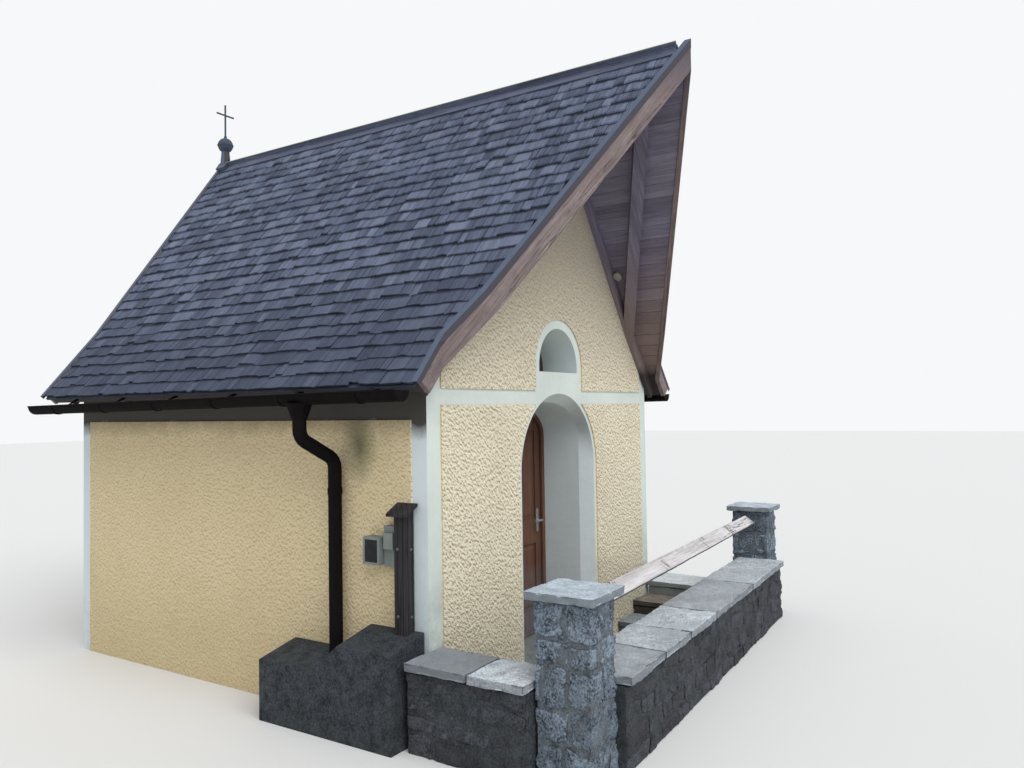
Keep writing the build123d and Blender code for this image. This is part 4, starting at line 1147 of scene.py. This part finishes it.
    def boards(self, side: Side, seed: int = 21) -> bpy.types.Object:
        """Boards parallel to the ridge, seen from below.

        Formula: each board is the strip between two shares of the section, over the depth of the
        boarding, cut to the verge lines at its own place.

        Args:
            side: The slope.
            seed: Seed of the tones.

        Returns:
            The joined mesh.
        """
        first, second = self.form.lengths()
        strips = []
        for base, length, cut in ((0.0, first, 0.0), (1.0, second, self.form.board_back)):
            usable = length - cut
            edges = np.linspace(0, usable, max(1, round(usable / self.board)) + 1)
            for low, high in zip(edges[:-1], edges[1:]):
                inner = np.array((low + self.board_gap / 2, high - self.board_gap / 2))
                strips.append(self.prism(side, tuple(base + inner / length), self.boarding))
        corners = np.array(strips)
        tone = np.random.default_rng(seed + side.value).uniform(0, 1, len(corners))
        grain = np.zeros_like(corners)
        grain[..., 0] = corners[..., 1]
        grain[..., 1] = np.hypot(corners[..., 0], corners[..., 2])
        grain[..., 2] = tone[:, None] * 9
        buffer = MeshBuffer()
        buffer.add(corners, outward(corners, BOX_QUADS), tone, grain)
        return self.palette.show(buffer, f"eaves_boards_{side.word}", "soffit", "soffit_wood",
                                 node=f"roof_boards_{side.word}")

    def verge_covers(self) -> bpy.types.Object:
        """Folded sheet metal along the four verges.

        Formula: an L-shaped section with one leg on the shingle tops and one down the board's face
        is swept along the verge line f(share) of each slope; each end is closed by two quads.

        Returns:
            The joined mesh.
        """
        form = self.form
        wide, face, sheet = self.sheet_width, self.sheet_face, self.sheet
        section = [(-sheet, face), (-sheet, -sheet), (wide, -sheet), (wide, 0.0), (0.0, 0.0), (0.0, face)]
        shares = np.concatenate([np.linspace(0, 1, 13), np.linspace(1, 2, 13)[1:]])
        number = np.arange(len(shares) * 6).reshape(-1, 6)
        first, last = number[0], number[-1]
        ends = [first[[5, 4, 1, 0]], first[[4, 3, 2, 1]], last[[0, 1, 4, 5]], last[[1, 2, 3, 4]]]
        quads = np.concatenate([tube_quads(number), ends])
        buffer = MeshBuffer()
        for side in Side:
            for verge in (form.front, form.rear):
                grid = np.zeros((len(shares), 6, 3))
                for index, (inset, depth) in enumerate(section):
                    point = form.at(shares, np.full(len(shares), depth))
                    y = verge(point[:, 0], inset)
                    grid[:, index] = np.stack([side.value * point[:, 0], y, point[:, 1]], -1)
                corners = grid.reshape(1, -1, 3)
                buffer.add(corners, outward(corners, quads))
        return self.palette.show(buffer, "verge_covers", "flashing", "sheet_metal", node="verge_flashings")

    def ridge(self) -> list[bpy.types.Object]:
        """Two runs of ridge boards, the right one lapping over the left, and the finial's saddle.

        Formula: each board is the box between two distances down the slope, two depths and two
        places along the ridge.

        Returns:
            The boards and the saddle.
        """
        form = self.form

        def strip(side: Side, along: tuple[float, float], depths: tuple[float, float],
                  run: tuple[float, float]) -> Points:
            """One board.

            Args:
                side: The slope.
                along: Distances down the slope.
                depths: Upper and lower depth.
                run: Places along the ridge.

            Returns:
                The box's corners (8, 3).
            """
            down, across = sin(form.main), cos(form.main)
            place = [(a * across - d * down, y, form.ridge - a * down - d * across)
                     for a in along for y in run for d in depths]
            return np.array(place) * (side.value, 1, 1)

        boards, saddle = MeshBuffer(), MeshBuffer()
        cuts = (form.tip + self.ridge_start, *self.ridge_cuts, form.rear_ridge)
        reach, lift, margin = self.saddle
        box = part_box("finial_sleeve")
        for side in Side:
            right = side is Side.RIGHT
            start = -self.ridge_lap if right else 0.0
            for index, (a, b) in enumerate(zip(cuts[:-1], cuts[1:])):
                a += self.ridge_shift * (right and 0 < index) + self.ridge_joint
                b += self.ridge_shift * (right and index < len(cuts) - 2) - self.ridge_joint
                boards.add_box(strip(side, (start, self.ridge_width), self.ridge_depths, (a, b)))
            run = (box[0].y - margin, box[1].y + margin)
            saddle.add_box(strip(side, (0.0, reach), (lift, self.ridge_depths[0]), run))
        return [self.palette.show(boards, "ridge_capping", "ridge", "ridge_wood", node="ridge_boards"),
                self.palette.show(saddle, "finial_saddle", "flashing", "sheet_metal")]


WALL_CUT = Cut(0.018, 0.02, 34.0, (8, 6, 6), 91)
PILLAR_CUT = Cut(0.014, 0.02, 38.0, (9, 9, 9), 60)
BED_CUT = Cut(0.006, 0.006, 60.0, (30, 12, 16), 5)
CAP_CUT = Cut(0.007, 0.009, 30.0, (34, 34, 3), 80)
SLAB_CUT = Cut(0.006, 0.011, 16.0, (40, 30, 3), 100)
SIDE_SLAB_CUT = Cut(0.006, 0.01, 16.0, (30, 34, 3), 120)
PLANK_CUT = Cut(0.006, 0.003, 17.0, (90, 12, 5), 160)
STEP_CUT = Cut(0.008, 0.009, 22.0, (12, 26, 6), 150)
BAR_CUT = Cut(0.0015, 0.0, 10.0, (1, 6, 6), 1)
PANE_CUT = Cut(0.001, 0.0, 10.0, (1, 6, 6), 1)


def halves(low: Points, high: Points, axis: int, share: float, joint: float) -> list[tuple[Points, Points]]:
    """Cuts a box in two across an axis.

    Args:
        low: Lowest corner.
        high: Highest corner.
        axis: The axis.
        share: Where along it the cut is.
        joint: Half the joint's width.

    Returns:
        Lowest and highest corners of the two boxes.
    """
    middle = low[axis] + share * (high[axis] - low[axis])
    first, second = high.copy(), low.copy()
    first[axis], second[axis] = middle - joint, middle + joint
    return [(low, first), (second, high)]


@dataclass(frozen=True)
class EntranceForm:
    """Plan and heights of the sunken entrance, in metres."""

    near_x: float = -1.765
    near_y: float = -3.040
    far_x: float = 2.515
    far_y: float = -2.825
    width: float = 0.33
    depth: float = 0.37
    height: float = 1.015
    lap: float = 0.038
    cap: float = 0.055
    wall: float = 0.5
    slab: float = 0.06
    slab_lap: float = 0.025
    joint: float = 0.008
    thick: float = 0.4
    near_line: float = -3.085
    far_line: float = -2.940
    side_x: float = -1.835
    side_thick: float = 0.34
    face: float = -1.9873
    seams: tuple[float, ...] = (-1.02, -0.52, 0.07, 1.15)
    side_seam: float = -2.455
    steps: tuple[float, ...] = (1.0, 1.345, 1.68, 2.13)
    rise: float = 0.123

    @property
    def ends(self) -> tuple[float, float]:
        """X of the two pillar faces between which the front parapet runs, near and far."""
        return self.near_x + self.width / 2, self.far_x - self.width / 2

    @property
    def pillars(self) -> tuple[tuple[float, float], tuple[float, float]]:
        """Middle of each pillar in plan, near and far."""
        return (self.near_x, self.near_y), (self.far_x, self.far_y)

    def line(self, x: Points) -> Points:
        """Y of the front parapet's centre line at places along it."""
        low, high = self.ends
        return self.near_line + (np.asarray(x) - low) / (high - low) * (self.far_line - self.near_line)

    def skew(self, points: Points) -> Points:
        """Moves positions beside a straight line to the same place beside the parapet's line.

        Args:
            points: Positions (..., 3).

        Returns:
            The moved positions.
        """
        moved = points.copy()
        moved[..., 1] += self.line(points[..., 0])
        return moved


@dataclass(frozen=True)
class Entrance:
    """Stone pillars, low walls, coping, steps and the timber rail."""

    form: EntranceForm
    palette: Palette
    wall_joint: float = 0.013
    wall_courses: int = 4
    wall_crumple: tuple[float, float] = (0.02, 11.0)
    course_spread: float = 0.25
    stone: float = 0.27
    stone_spread: float = 0.4
    setback: float = 0.013
    clear: float = 0.001
    pillar_courses: int = 5
    pillar_spread: float = 0.3
    pillar_seed: int = 40
    first_cut: tuple[float, float] = (0.36, 0.64)
    second_cut: tuple[float, float] = (0.35, 0.65)
    cut_twice: float = 0.45
    pillar_crumple: tuple[float, float, int] = (0.016, 12.0, 70)
    bed_joint: float = 0.007
    cross_joint: float = 0.006
    cap_tone: float = 0.3
    tones: tuple[float, ...] = (0.75, 0.35, 0.15, 0.7, 0.4)
    side_tones: tuple[float, float] = (0.0, 1.06)
    worn: tuple[float, float, int] = (0.004, 5.0, 130)
    tread: float = 0.055
    riser_back: tuple[float, float] = (0.012, 0.004)
    riser_side: float = 0.01
    # tread tone, then the riser's darker tone, which is painted shade under the tread
    tread_and_shaded_riser_tones: tuple[float, float] = (0.2, 0.8)
    plank: tuple[float, float] = (0.122, 0.032)
    lean: float = radians(53.0)
    let_in: float = 0.02
    rail_inset: float = 0.03
    breadth_wave: tuple[float, float, int] = (0.03, 3.0, 162)

    def masonry(self, stones: MeshBuffer, mortar: MeshBuffer, low: Points, high: Points, turn: int,
                gap: float, moves: Sequence[Move] = ()) -> None:
        """Fills a box with courses of rough stones in mortar.

        Formula: the height is cut into courses of uneven height; each course is cut along x or y into
        stones of uneven length, and across into two wythes; each stone is a rough block less its
        joint. The mortar is one block a little behind their faces.

        Args:
            stones: Where the stones are added.
            mortar: Where the mortar is added.
            low: Lowest corner.
            high: Highest corner.
            turn: Number that is added to the seed.
            gap: How far the mortar ends before the stones.
            moves: Functions that move the positions into the wall's plan.
        """
        seed = WALL_CUT.seed + turn
        rng = np.random.default_rng(seed)
        levels = uneven(rng, self.wall_courses, self.course_spread, low[2], high[2])
        run = 0 if high[0] - low[0] >= high[1] - low[1] else 1
        across = np.linspace(low[1 - run], high[1 - run], 3)
        boxes = []
        for course in range(self.wall_courses):
            for wythe in (0, 1):
                spread = self.stone_spread
                pieces = max(1, round((high[run] - low[run]) / self.stone + rng.uniform(-spread, spread)))
                cuts = uneven(rng, pieces, spread, low[run], high[run])
                box = np.empty((2, pieces, 3))
                box[:, :, run] = cuts[:-1], cuts[1:]
                box[:, :, 1 - run] = across[wythe:wythe + 2, None]
                box[:, :, 2] = levels[course:course + 2, None]
                boxes.append(box)
        lows, highs = np.concatenate(boxes, 1)
        lows, highs = lows + self.wall_joint / 2 * (lows > low), highs - self.wall_joint / 2 * (highs < high)
        stones.add_stones(lows, highs, WALL_CUT, turn, rng.uniform(0, 1, len(lows)),
                          (Crumple(low, high, *self.wall_crumple, seed), *moves))
        inset = np.full(3, self.clear)
        inset[run], inset[1 - run] = gap, self.setback
        mortar.add_stones(low + inset, high - inset, BED_CUT, moves=moves)

    def pillars(self) -> list[bpy.types.Object]:
        """Two pillars of split granite in mortar.

        Returns:
            The stones and the mortar.
        """
        form = self.form
        stones, mortar = MeshBuffer(), MeshBuffer()
        half = np.array([form.width / 2, form.depth / 2, 0.0])
        inset = np.array([self.setback, self.setback, self.clear])
        for index, (x, y) in enumerate(form.pillars):
            low, high = np.array([x, y, 0.0]) - half, np.array([x, y, form.height]) + half
            rng = np.random.default_rng(self.pillar_seed + index)
            crumple = Crumple(low, high, *self.pillar_crumple)
            levels = uneven(rng, self.pillar_courses, self.pillar_spread, 0.0, form.height)
            for row in range(self.pillar_courses):
                turn = row % 2
                base, top = low.copy(), high.copy()
                base[2] = levels[row] + self.bed_joint * (row > 0)
                top[2] = levels[row + 1] - self.bed_joint * (row < self.pillar_courses - 1)
                for a, b in halves(base, top, turn, rng.uniform(*self.first_cut), self.cross_joint):
                    share = rng.uniform(*self.second_cut)
                    again = rng.uniform() < self.cut_twice
                    parts = halves(a, b, 1 - turn, share, self.cross_joint) if again else [(a, b)]
                    lows, highs = zip(*parts)
                    tones = rng.uniform(0, 1, len(parts))
                    stones.add_stones(lows, highs, PILLAR_CUT, row, tones, (crumple,))
            mortar.add_stones(low + inset, high - inset, BED_CUT)
        return [self.palette.show(stones, "pillar_stones", "granite", "granite", True, "pillars"),
                self.palette.show(mortar, "pillar_mortar", "mortar", "granite")]

    def caps(self) -> bpy.types.Object:
        """Thin granite caps with broken edges.

        Returns:
            The joined mesh.
        """
        form = self.form
        buffer = MeshBuffer()
        half = np.array([form.width / 2 + form.lap, form.depth / 2 + form.lap, 0.0])
        for x, y in form.pillars:
            low = np.array([x, y, form.height + SEAT]) - half
            high = np.array([x, y, form.height + form.cap]) + half
            buffer.add_stones(low, high, CAP_CUT, tone=self.cap_tone)
        return self.palette.show(buffer, "cap_stones", "cap_granite", "granite", True, "pillar_caps")

    def walls(self) -> list[bpy.types.Object]:
        """Low walls of dark rubble in mortar.

        Returns:
            The stones and the mortar.
        """
        form = self.form
        stones, mortar = MeshBuffer(), MeshBuffer()
        near, far = form.ends
        low = np.array([near + SEAT, -form.thick / 2, 0.0])
        high = np.array([far - SEAT, form.thick / 2, form.wall])
        self.masonry(stones, mortar, low, high, 0, self.clear - SEAT, (form.skew,))
        low = np.array([form.side_x - form.side_thick / 2, form.near_y + form.depth / 2 + SEAT, 0.0])
        high = np.array([form.side_x + form.side_thick / 2, form.face, form.wall])
        self.masonry(stones, mortar, low, high, 1, self.clear)
        show = self.palette.show
        return [show(stones, "parapet_stones", "wall_stone", "wall_stone", True, "parapet_walls"),
                show(mortar, "parapet_mortar", "wall_mortar", "wall_stone")]

    def coping(self) -> bpy.types.Object:
        """Granite slabs with riven, slightly uneven edges.

        Returns:
            The joined mesh.
        """
        form = self.form
        buffer = MeshBuffer()
        near, far = form.ends
        gap = form.joint / 2
        edges = (near + gap, *form.seams, far - gap)
        half = form.thick / 2 + form.slab_lap
        base = form.wall + SEAT
        depth, scale, seed = self.worn
        for index, (a, b) in enumerate(zip(edges[:-1], edges[1:])):

            def worn(points: Points, index: int = index) -> Points:
                """Lowers the upper face a little where people sit and lean."""
                dip = depth * np.clip(wobble(points * (1, 1, 0), scale, seed + index), 0, 1)
                return points - (dip * (points[..., 2] > base + form.slab / 2))[..., None] * UP

            low, high = (a + gap, -half, base), (b - gap, half, base + form.slab)
            buffer.add_stones(low, high, SLAB_CUT, index, self.tones[index], (worn, form.skew))
        wide = form.side_thick / 2 + form.slab_lap
        edges = (form.near_y + form.depth / 2, form.side_seam, form.face)
        for index, (a, b) in enumerate(zip(edges[:-1], edges[1:])):
            low, high = (form.side_x - wide, a + gap, base), (form.side_x + wide, b - gap, base + form.slab)
            buffer.add_stones(low, high, SIDE_SLAB_CUT, index, self.side_tones[index])
        return self.palette.show(buffer, "coping_stones", "slab_granite", "granite", True, "coping_slabs")

    def rail(self) -> bpy.types.Object:
        """Weathered plank between the pillars, leaning back so that its broad face looks up and out.

        Formula: a rough block with a across the plank and b through it goes to
        y = y0 + a sin(lean) - b cos(lean) and z = z0 + a cos(lean) + b sin(lean), where (y0, z0) is
        the middle line of the CAD rail, which runs a little askew; both ends are let into the stone.

        Returns:
            The plank.
        """
        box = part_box("entrance_rail")
        start, end = self.form.ends
        half = np.array(self.plank) / 2
        swell, scale, seed = self.breadth_wave

        def placed(points: Points) -> Points:
            """Moves the straight plank to its line and leans it back.

            Args:
                points: Positions (..., 3).

            Returns:
                The moved positions.
            """
            along, a, b = points[..., 0], points[..., 1], points[..., 2]
            a = a * (1 + swell * wobble(points * (1, 0, 0), scale, seed))
            share = (along - start) / (end - start)
            y = box[0].y + self.rail_inset + share * (box[1].y - box[0].y - 2 * self.rail_inset)
            z = (box[0].z + box[1].z) / 2
            return np.stack([along, y + a * sin(self.lean) - b * cos(self.lean),
                             z + a * cos(self.lean) + b * sin(self.lean)], -1)

        buffer = MeshBuffer()
        low, high = (start - self.let_in, *-half), (end + self.let_in, *half)
        buffer.add_stones(low, high, PLANK_CUT, tone=0.0, moves=(placed,))
        return self.palette.show(buffer, "rail_plank", "rail", "rail_wood", True, "entrance_rail")

    def flight(self) -> list[bpy.types.Object]:
        """Three stone steps up to the right, each a tread on a riser.

        Returns:
            One mesh a step.
        """
        form = self.form
        edge = form.thick / 2 + SEAT
        made = []
        finishes = {"low": "step_blue", "middle": "step_brown", "top": "step_white"}
        for index, (name, finish) in enumerate(finishes.items()):
            x0, x1 = form.steps[index], form.steps[index + 1] - SEAT
            top = form.rise * (index + 1)
            span = form.face - float(form.line((x0 + x1) / 2)) - edge

            def fitted(points: Points, span: float = span) -> Points:
                """Stretches the straight step between the parapet and the chapel.

                Args:
                    points: Positions (..., 3).
                    span: Length of the straight step.

                Returns:
                    The moved positions.
                """
                moved = points.copy()
                base = form.line(points[..., 0]) + edge
                moved[..., 1] = base + points[..., 1] * (form.face - base) / span
                return moved

            buffer = MeshBuffer()
            front, rear = self.riser_back
            side = self.riser_side * span
            lows = ((x0, 0.0, top - self.tread), (x0 + front, side, 0.0))
            highs = ((x1, span, top), (x1 - rear, span - side, top - self.tread - self.clear))
            buffer.add_stones(lows, highs, STEP_CUT, index, self.tread_and_shaded_riser_tones, (fitted,))
            made.append(self.palette.show(buffer, f"step_stone_{name}", finish, "granite", True,
                                          f"step_{name}"))
        return made


@dataclass(frozen=True)
class Fittings:
    """Small things on the walls: bolt heads of the cable cover and the meter's window."""

    palette: Palette
    bolt_radius: float = 0.011
    bolt_height: float = 0.008
    bolt_drops: tuple[float, float] = (0.29, 0.72)
    bolt_rim: float = 0.35
    cover_lap: float = 0.036
    side_back: float = 0.03
    front_place: tuple[float, float] = (0.05, 0.005)
    border: float = 0.009
    recess: float = 0.006
    frame_gap: float = 0.0005
    pane_gap: float = 0.003
    bar: float = 0.007
    meter_width: float = 0.140
    meter_foot: float = 0.010
    meter_top: float = 0.190

    def dome(self, centre: Sequence[float], normal: RGB) -> tuple[Points, Points]:
        """Round bolt head: a flattened dome on a short rim.

        Formula: the profile r(t), h(t) is a quarter ellipse over a short cylinder, turned about the
        normal.

        Args:
            centre: Middle of the seat.
            normal: Direction that it faces.

        Returns:
            Positions (1, m, 3) and quads.
        """
        turn = np.linspace(0, 2 * pi, 16, endpoint=False)
        quarter = np.linspace(0, pi / 2, 6)[1:]
        rim = np.concatenate([[1.0, 1.0], np.cos(quarter)]) * self.bolt_radius
        rim[-1] = 0.02 * self.bolt_radius
        dome = self.bolt_rim + (1 - self.bolt_rim) * np.sin(quarter)
        rise = np.concatenate([[0.0, self.bolt_rim], dome]) * self.bolt_height
        up = np.array(normal, float)
        side = np.cross(up, (0.3, 0.5, 0.81))
        side /= np.linalg.norm(side)
        ring = np.cos(turn)[:, None] * side + np.sin(turn)[:, None] * np.cross(up, side)
        corners = np.array(centre) + rim[:, None, None] * ring[None] + rise[:, None, None] * up
        number = np.arange(corners.size // 3).reshape(corners.shape[:2])
        span = len(turn) // 2 - 1
        caps = []
        for one, order in ((number[-1], (0, 1, 2, 3)), (number[0], (0, 3, 2, 1))):
            back = one[::-1]
            lines = (one[:span], one[1:span + 1], back[:span], np.roll(back, 1)[:span])
            caps.append(np.stack([lines[i] for i in order], -1))
        return corners.reshape(1, -1, 3), np.concatenate([tube_quads(number), *caps])

    def bolts(self) -> bpy.types.Object:
        """Bolt heads on two sides of the boxed cover.

        Returns:
            The joined mesh.
        """
        buffer = MeshBuffer()
        low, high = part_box("cable_cover")
        lap = self.cover_lap
        for drop in self.bolt_drops:
            side = (low.x + lap, high.y - lap - self.side_back, high.z - drop)
            front = (low.x + lap + self.front_place[0], low.y + lap, high.z - drop - self.front_place[1])
            for place, facing in ((side, LEFT), (front, FRONT)):
                buffer.add(*self.dome(place, facing))
        return self.palette.show(buffer, "bolt_heads", "bolt", "handle_metal", True)

    def meter(self) -> list[bpy.types.Object]:
        """Glass and pale frame of the meter's window.

        Returns:
            The frame and the glass.
        """
        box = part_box("meter_cabinet")
        bar = self.bar
        front, back = box[0].x + self.frame_gap, box[0].x + self.recess
        y0, y1 = box[1].y - self.meter_width + self.border, box[1].y - self.border
        z0, z1 = box[0].z + self.meter_foot + self.border, box[0].z + self.meter_top - self.border
        bars, pane = MeshBuffer(), MeshBuffer()
        lows = ((front, y0, z0), (front, y0, z1 - bar), (front, y0, z0 + bar), (front, y1 - bar, z0 + bar))
        highs = ((back, y1, z0 + bar), (back, y1, z1), (back, y0 + bar, z1 - bar), (back, y1, z1 - bar))
        bars.add_stones(lows, highs, BAR_CUT)
        pane.add_stones((box[0].x + self.pane_gap, y0 + bar, z0 + bar), (back, y1 - bar, z1 - bar), PANE_CUT)
        return [self.palette.show(bars, "meter_frame", "meter_frame", "cabinet_plastic", True),
                self.palette.show(pane, "meter_glass", "glass", "cabinet_plastic", True)]


@dataclass(frozen=True)
class Stage:
    """Floor, light, white surroundings and the camera."""

    eye: RGB = (-5.847, -5.248, 2.09)
    yaw: float = radians(57.44)
    pitch: float = radians(1.74)
    roll: float = radians(-0.88)
    sensor: float = 36.0
    focal_pixels: float = 810.1
    photo_width: float = 1024.0
    light: RGB = (0.95, 0.97, 1.0)
    light_strength: float = 0.62
    seen: RGB = (0.93, 0.94, 0.95)
    key_toward: RGB = (0.42, 0.91, -1.12)
    key_spread: float = radians(50.0)
    key_power: float = 2.0
    key_distance: float = 12.0
    floor_half: float = 60.0
    floor_drop: float = 0.001

    def camera(self) -> None:
        """Puts the camera where the photograph was taken from.

        Formula: yaw, pitch and roll give the forward, right and up directions, which are the
        columns of the camera's rotation.
        """
        yaw, pitch, roll = self.yaw, self.pitch, self.roll
        forward = Vector((sin(yaw) * cos(pitch), cos(yaw) * cos(pitch), sin(pitch)))
        level = Vector((cos(yaw), -sin(yaw), 0.0))
        above = level.cross(forward)
        right = level * cos(roll) + above * sin(roll)
        up = above * cos(roll) - level * sin(roll)
        data = bpy.data.cameras.new("camera")
        data.sensor_width = self.sensor
        data.lens = self.focal_pixels * self.sensor / self.photo_width
        made = place_in_scene("camera", data)
        made.matrix_world = Matrix.Translation(self.eye) @ Matrix((right, up, -forward)).transposed().to_4x4()
        bpy.context.scene.camera = made

    def floor(self) -> None:
        """Plain pale floor at ground level."""
        mesh = bpy.data.meshes.new("floor")
        half, level = self.floor_half, -self.floor_drop
        corners = [(-half, -half, level), (half, -half, level), (half, half, level), (-half, half, level)]
        mesh.from_pydata(corners, [], [(0, 1, 2, 3)])
        made = place_in_scene("floor", mesh)
        tree = Tree("floor")
        tree.colour = (0.78, 0.78, 0.77)
        made.data.materials.append(tree.finish(0.9))

    def lamp(self) -> None:
        """One wide, even lamp far away."""
        data = bpy.data.lights.new("key", "SUN")
        data.angle, data.energy = self.key_spread, self.key_power
        made = place_in_scene("key", data)
        toward = Vector(self.key_toward).normalized()
        made.location = -self.key_distance * toward
        made.rotation_euler = toward.to_track_quat("-Z", "Y").to_euler()

    def world(self) -> None:
        """White to the camera, glossy and clear rays, softer white as light."""
        world = bpy.data.worlds.new("studio")
        world.use_nodes = True
        bpy.context.scene.world = world
        nodes, links = world.node_tree.nodes, world.node_tree.links
        nodes.clear()
        path = nodes.new("ShaderNodeLightPath")
        most = path.outputs["Is Camera Ray"]
        for kind in ("Is Glossy Ray", "Is Transmission Ray"):
            either = nodes.new("ShaderNodeMath")
            either.operation = "MAXIMUM"
            links.new(most, either.inputs[0])
            links.new(path.outputs[kind], either.inputs[1])
            most = either.outputs[0]
        mix = nodes.new("ShaderNodeMixShader")
        links.new(most, mix.inputs[0])
        for index, (colour, strength) in enumerate(((self.light, self.light_strength), (self.seen, 1.0))):
            background = nodes.new("ShaderNodeBackground")
            background.inputs[0].default_value = (*colour, 1.0)
            background.inputs[1].default_value = strength
            links.new(background.outputs[0], mix.inputs[index + 1])
        output = nodes.new("ShaderNodeOutputWorld")
        links.new(mix.outputs[0], output.inputs[0])

    def build(self) -> None:
        """Makes the whole stage."""
        bpy.context.scene.view_settings.view_transform = "Standard"
        self.camera()
        self.floor()
        self.world()
        self.lamp()


NODE_FINISHES: dict[str, tuple[str, ...]] = {
    "floor_stone": ("floor_slab",),
    "limewash": ("front_wall_left", "front_wall_right", "front_arch", "front_gable", "lunette_surround",
                 "rear_wall", "side_wall_left", "side_wall_right"),
    "rafter": ("rafters_left", "rafters_right"),
    "barge_left": ("barge_boards_left",),
    "barge_right": ("barge_boards_right",),
    "barge_rear": ("rear_barge_boards",),
    "roughcast": ("roughcast_front", "roughcast_sides"),
    "door": ("door_frame", "door_leaf"),
    "handle": ("door_handle",),
    "window_frame": ("lunette_frame",),
    "glass": ("lunette_glass",),
    "gutter": ("gutter_left", "gutter_right", "downpipe_left", "downpipe_right"),
    "flashing": ("finial_sleeve",),
    "finial": ("finial_cross",),
    "lamp": ("soffit_lamp",),
    "cabinet": ("meter_cabinet",),
    "cover": ("cable_cover",),
    "cement": ("wall_foot_ledge",),
}


def main() -> None:
    """Builds the dressed chapel and its stage."""
    logging.basicConfig(level=logging.INFO, format="%(message)s")
    form = RoofForm()
    palette = Palette(form)
    for finish, nodes in NODE_FINISHES.items():
        for node in nodes:
            palette.dress(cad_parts[node], finish)
    roof = RoofCladding(form, palette)
    entrance = Entrance(EntranceForm(), palette)
    fittings = Fittings(palette)
    made: list[bpy.types.Object] = []
    for side in Side:
        made += [roof.shingles(side), roof.boards(side)]
    made += [roof.verge_covers(), *roof.ridge()]
    made += [*entrance.pillars(), entrance.caps(), *entrance.walls(), entrance.coping()]
    made += [*entrance.flight(), entrance.rail(), fittings.bolts(), *fittings.meter()]
    for piece in made:
        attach(piece, "chapel")
        LOG.info("%s: %d faces", piece.name, len(piece.data.polygons))
    Stage().build()
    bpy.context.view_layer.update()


if __name__ == "__main__":
    main()
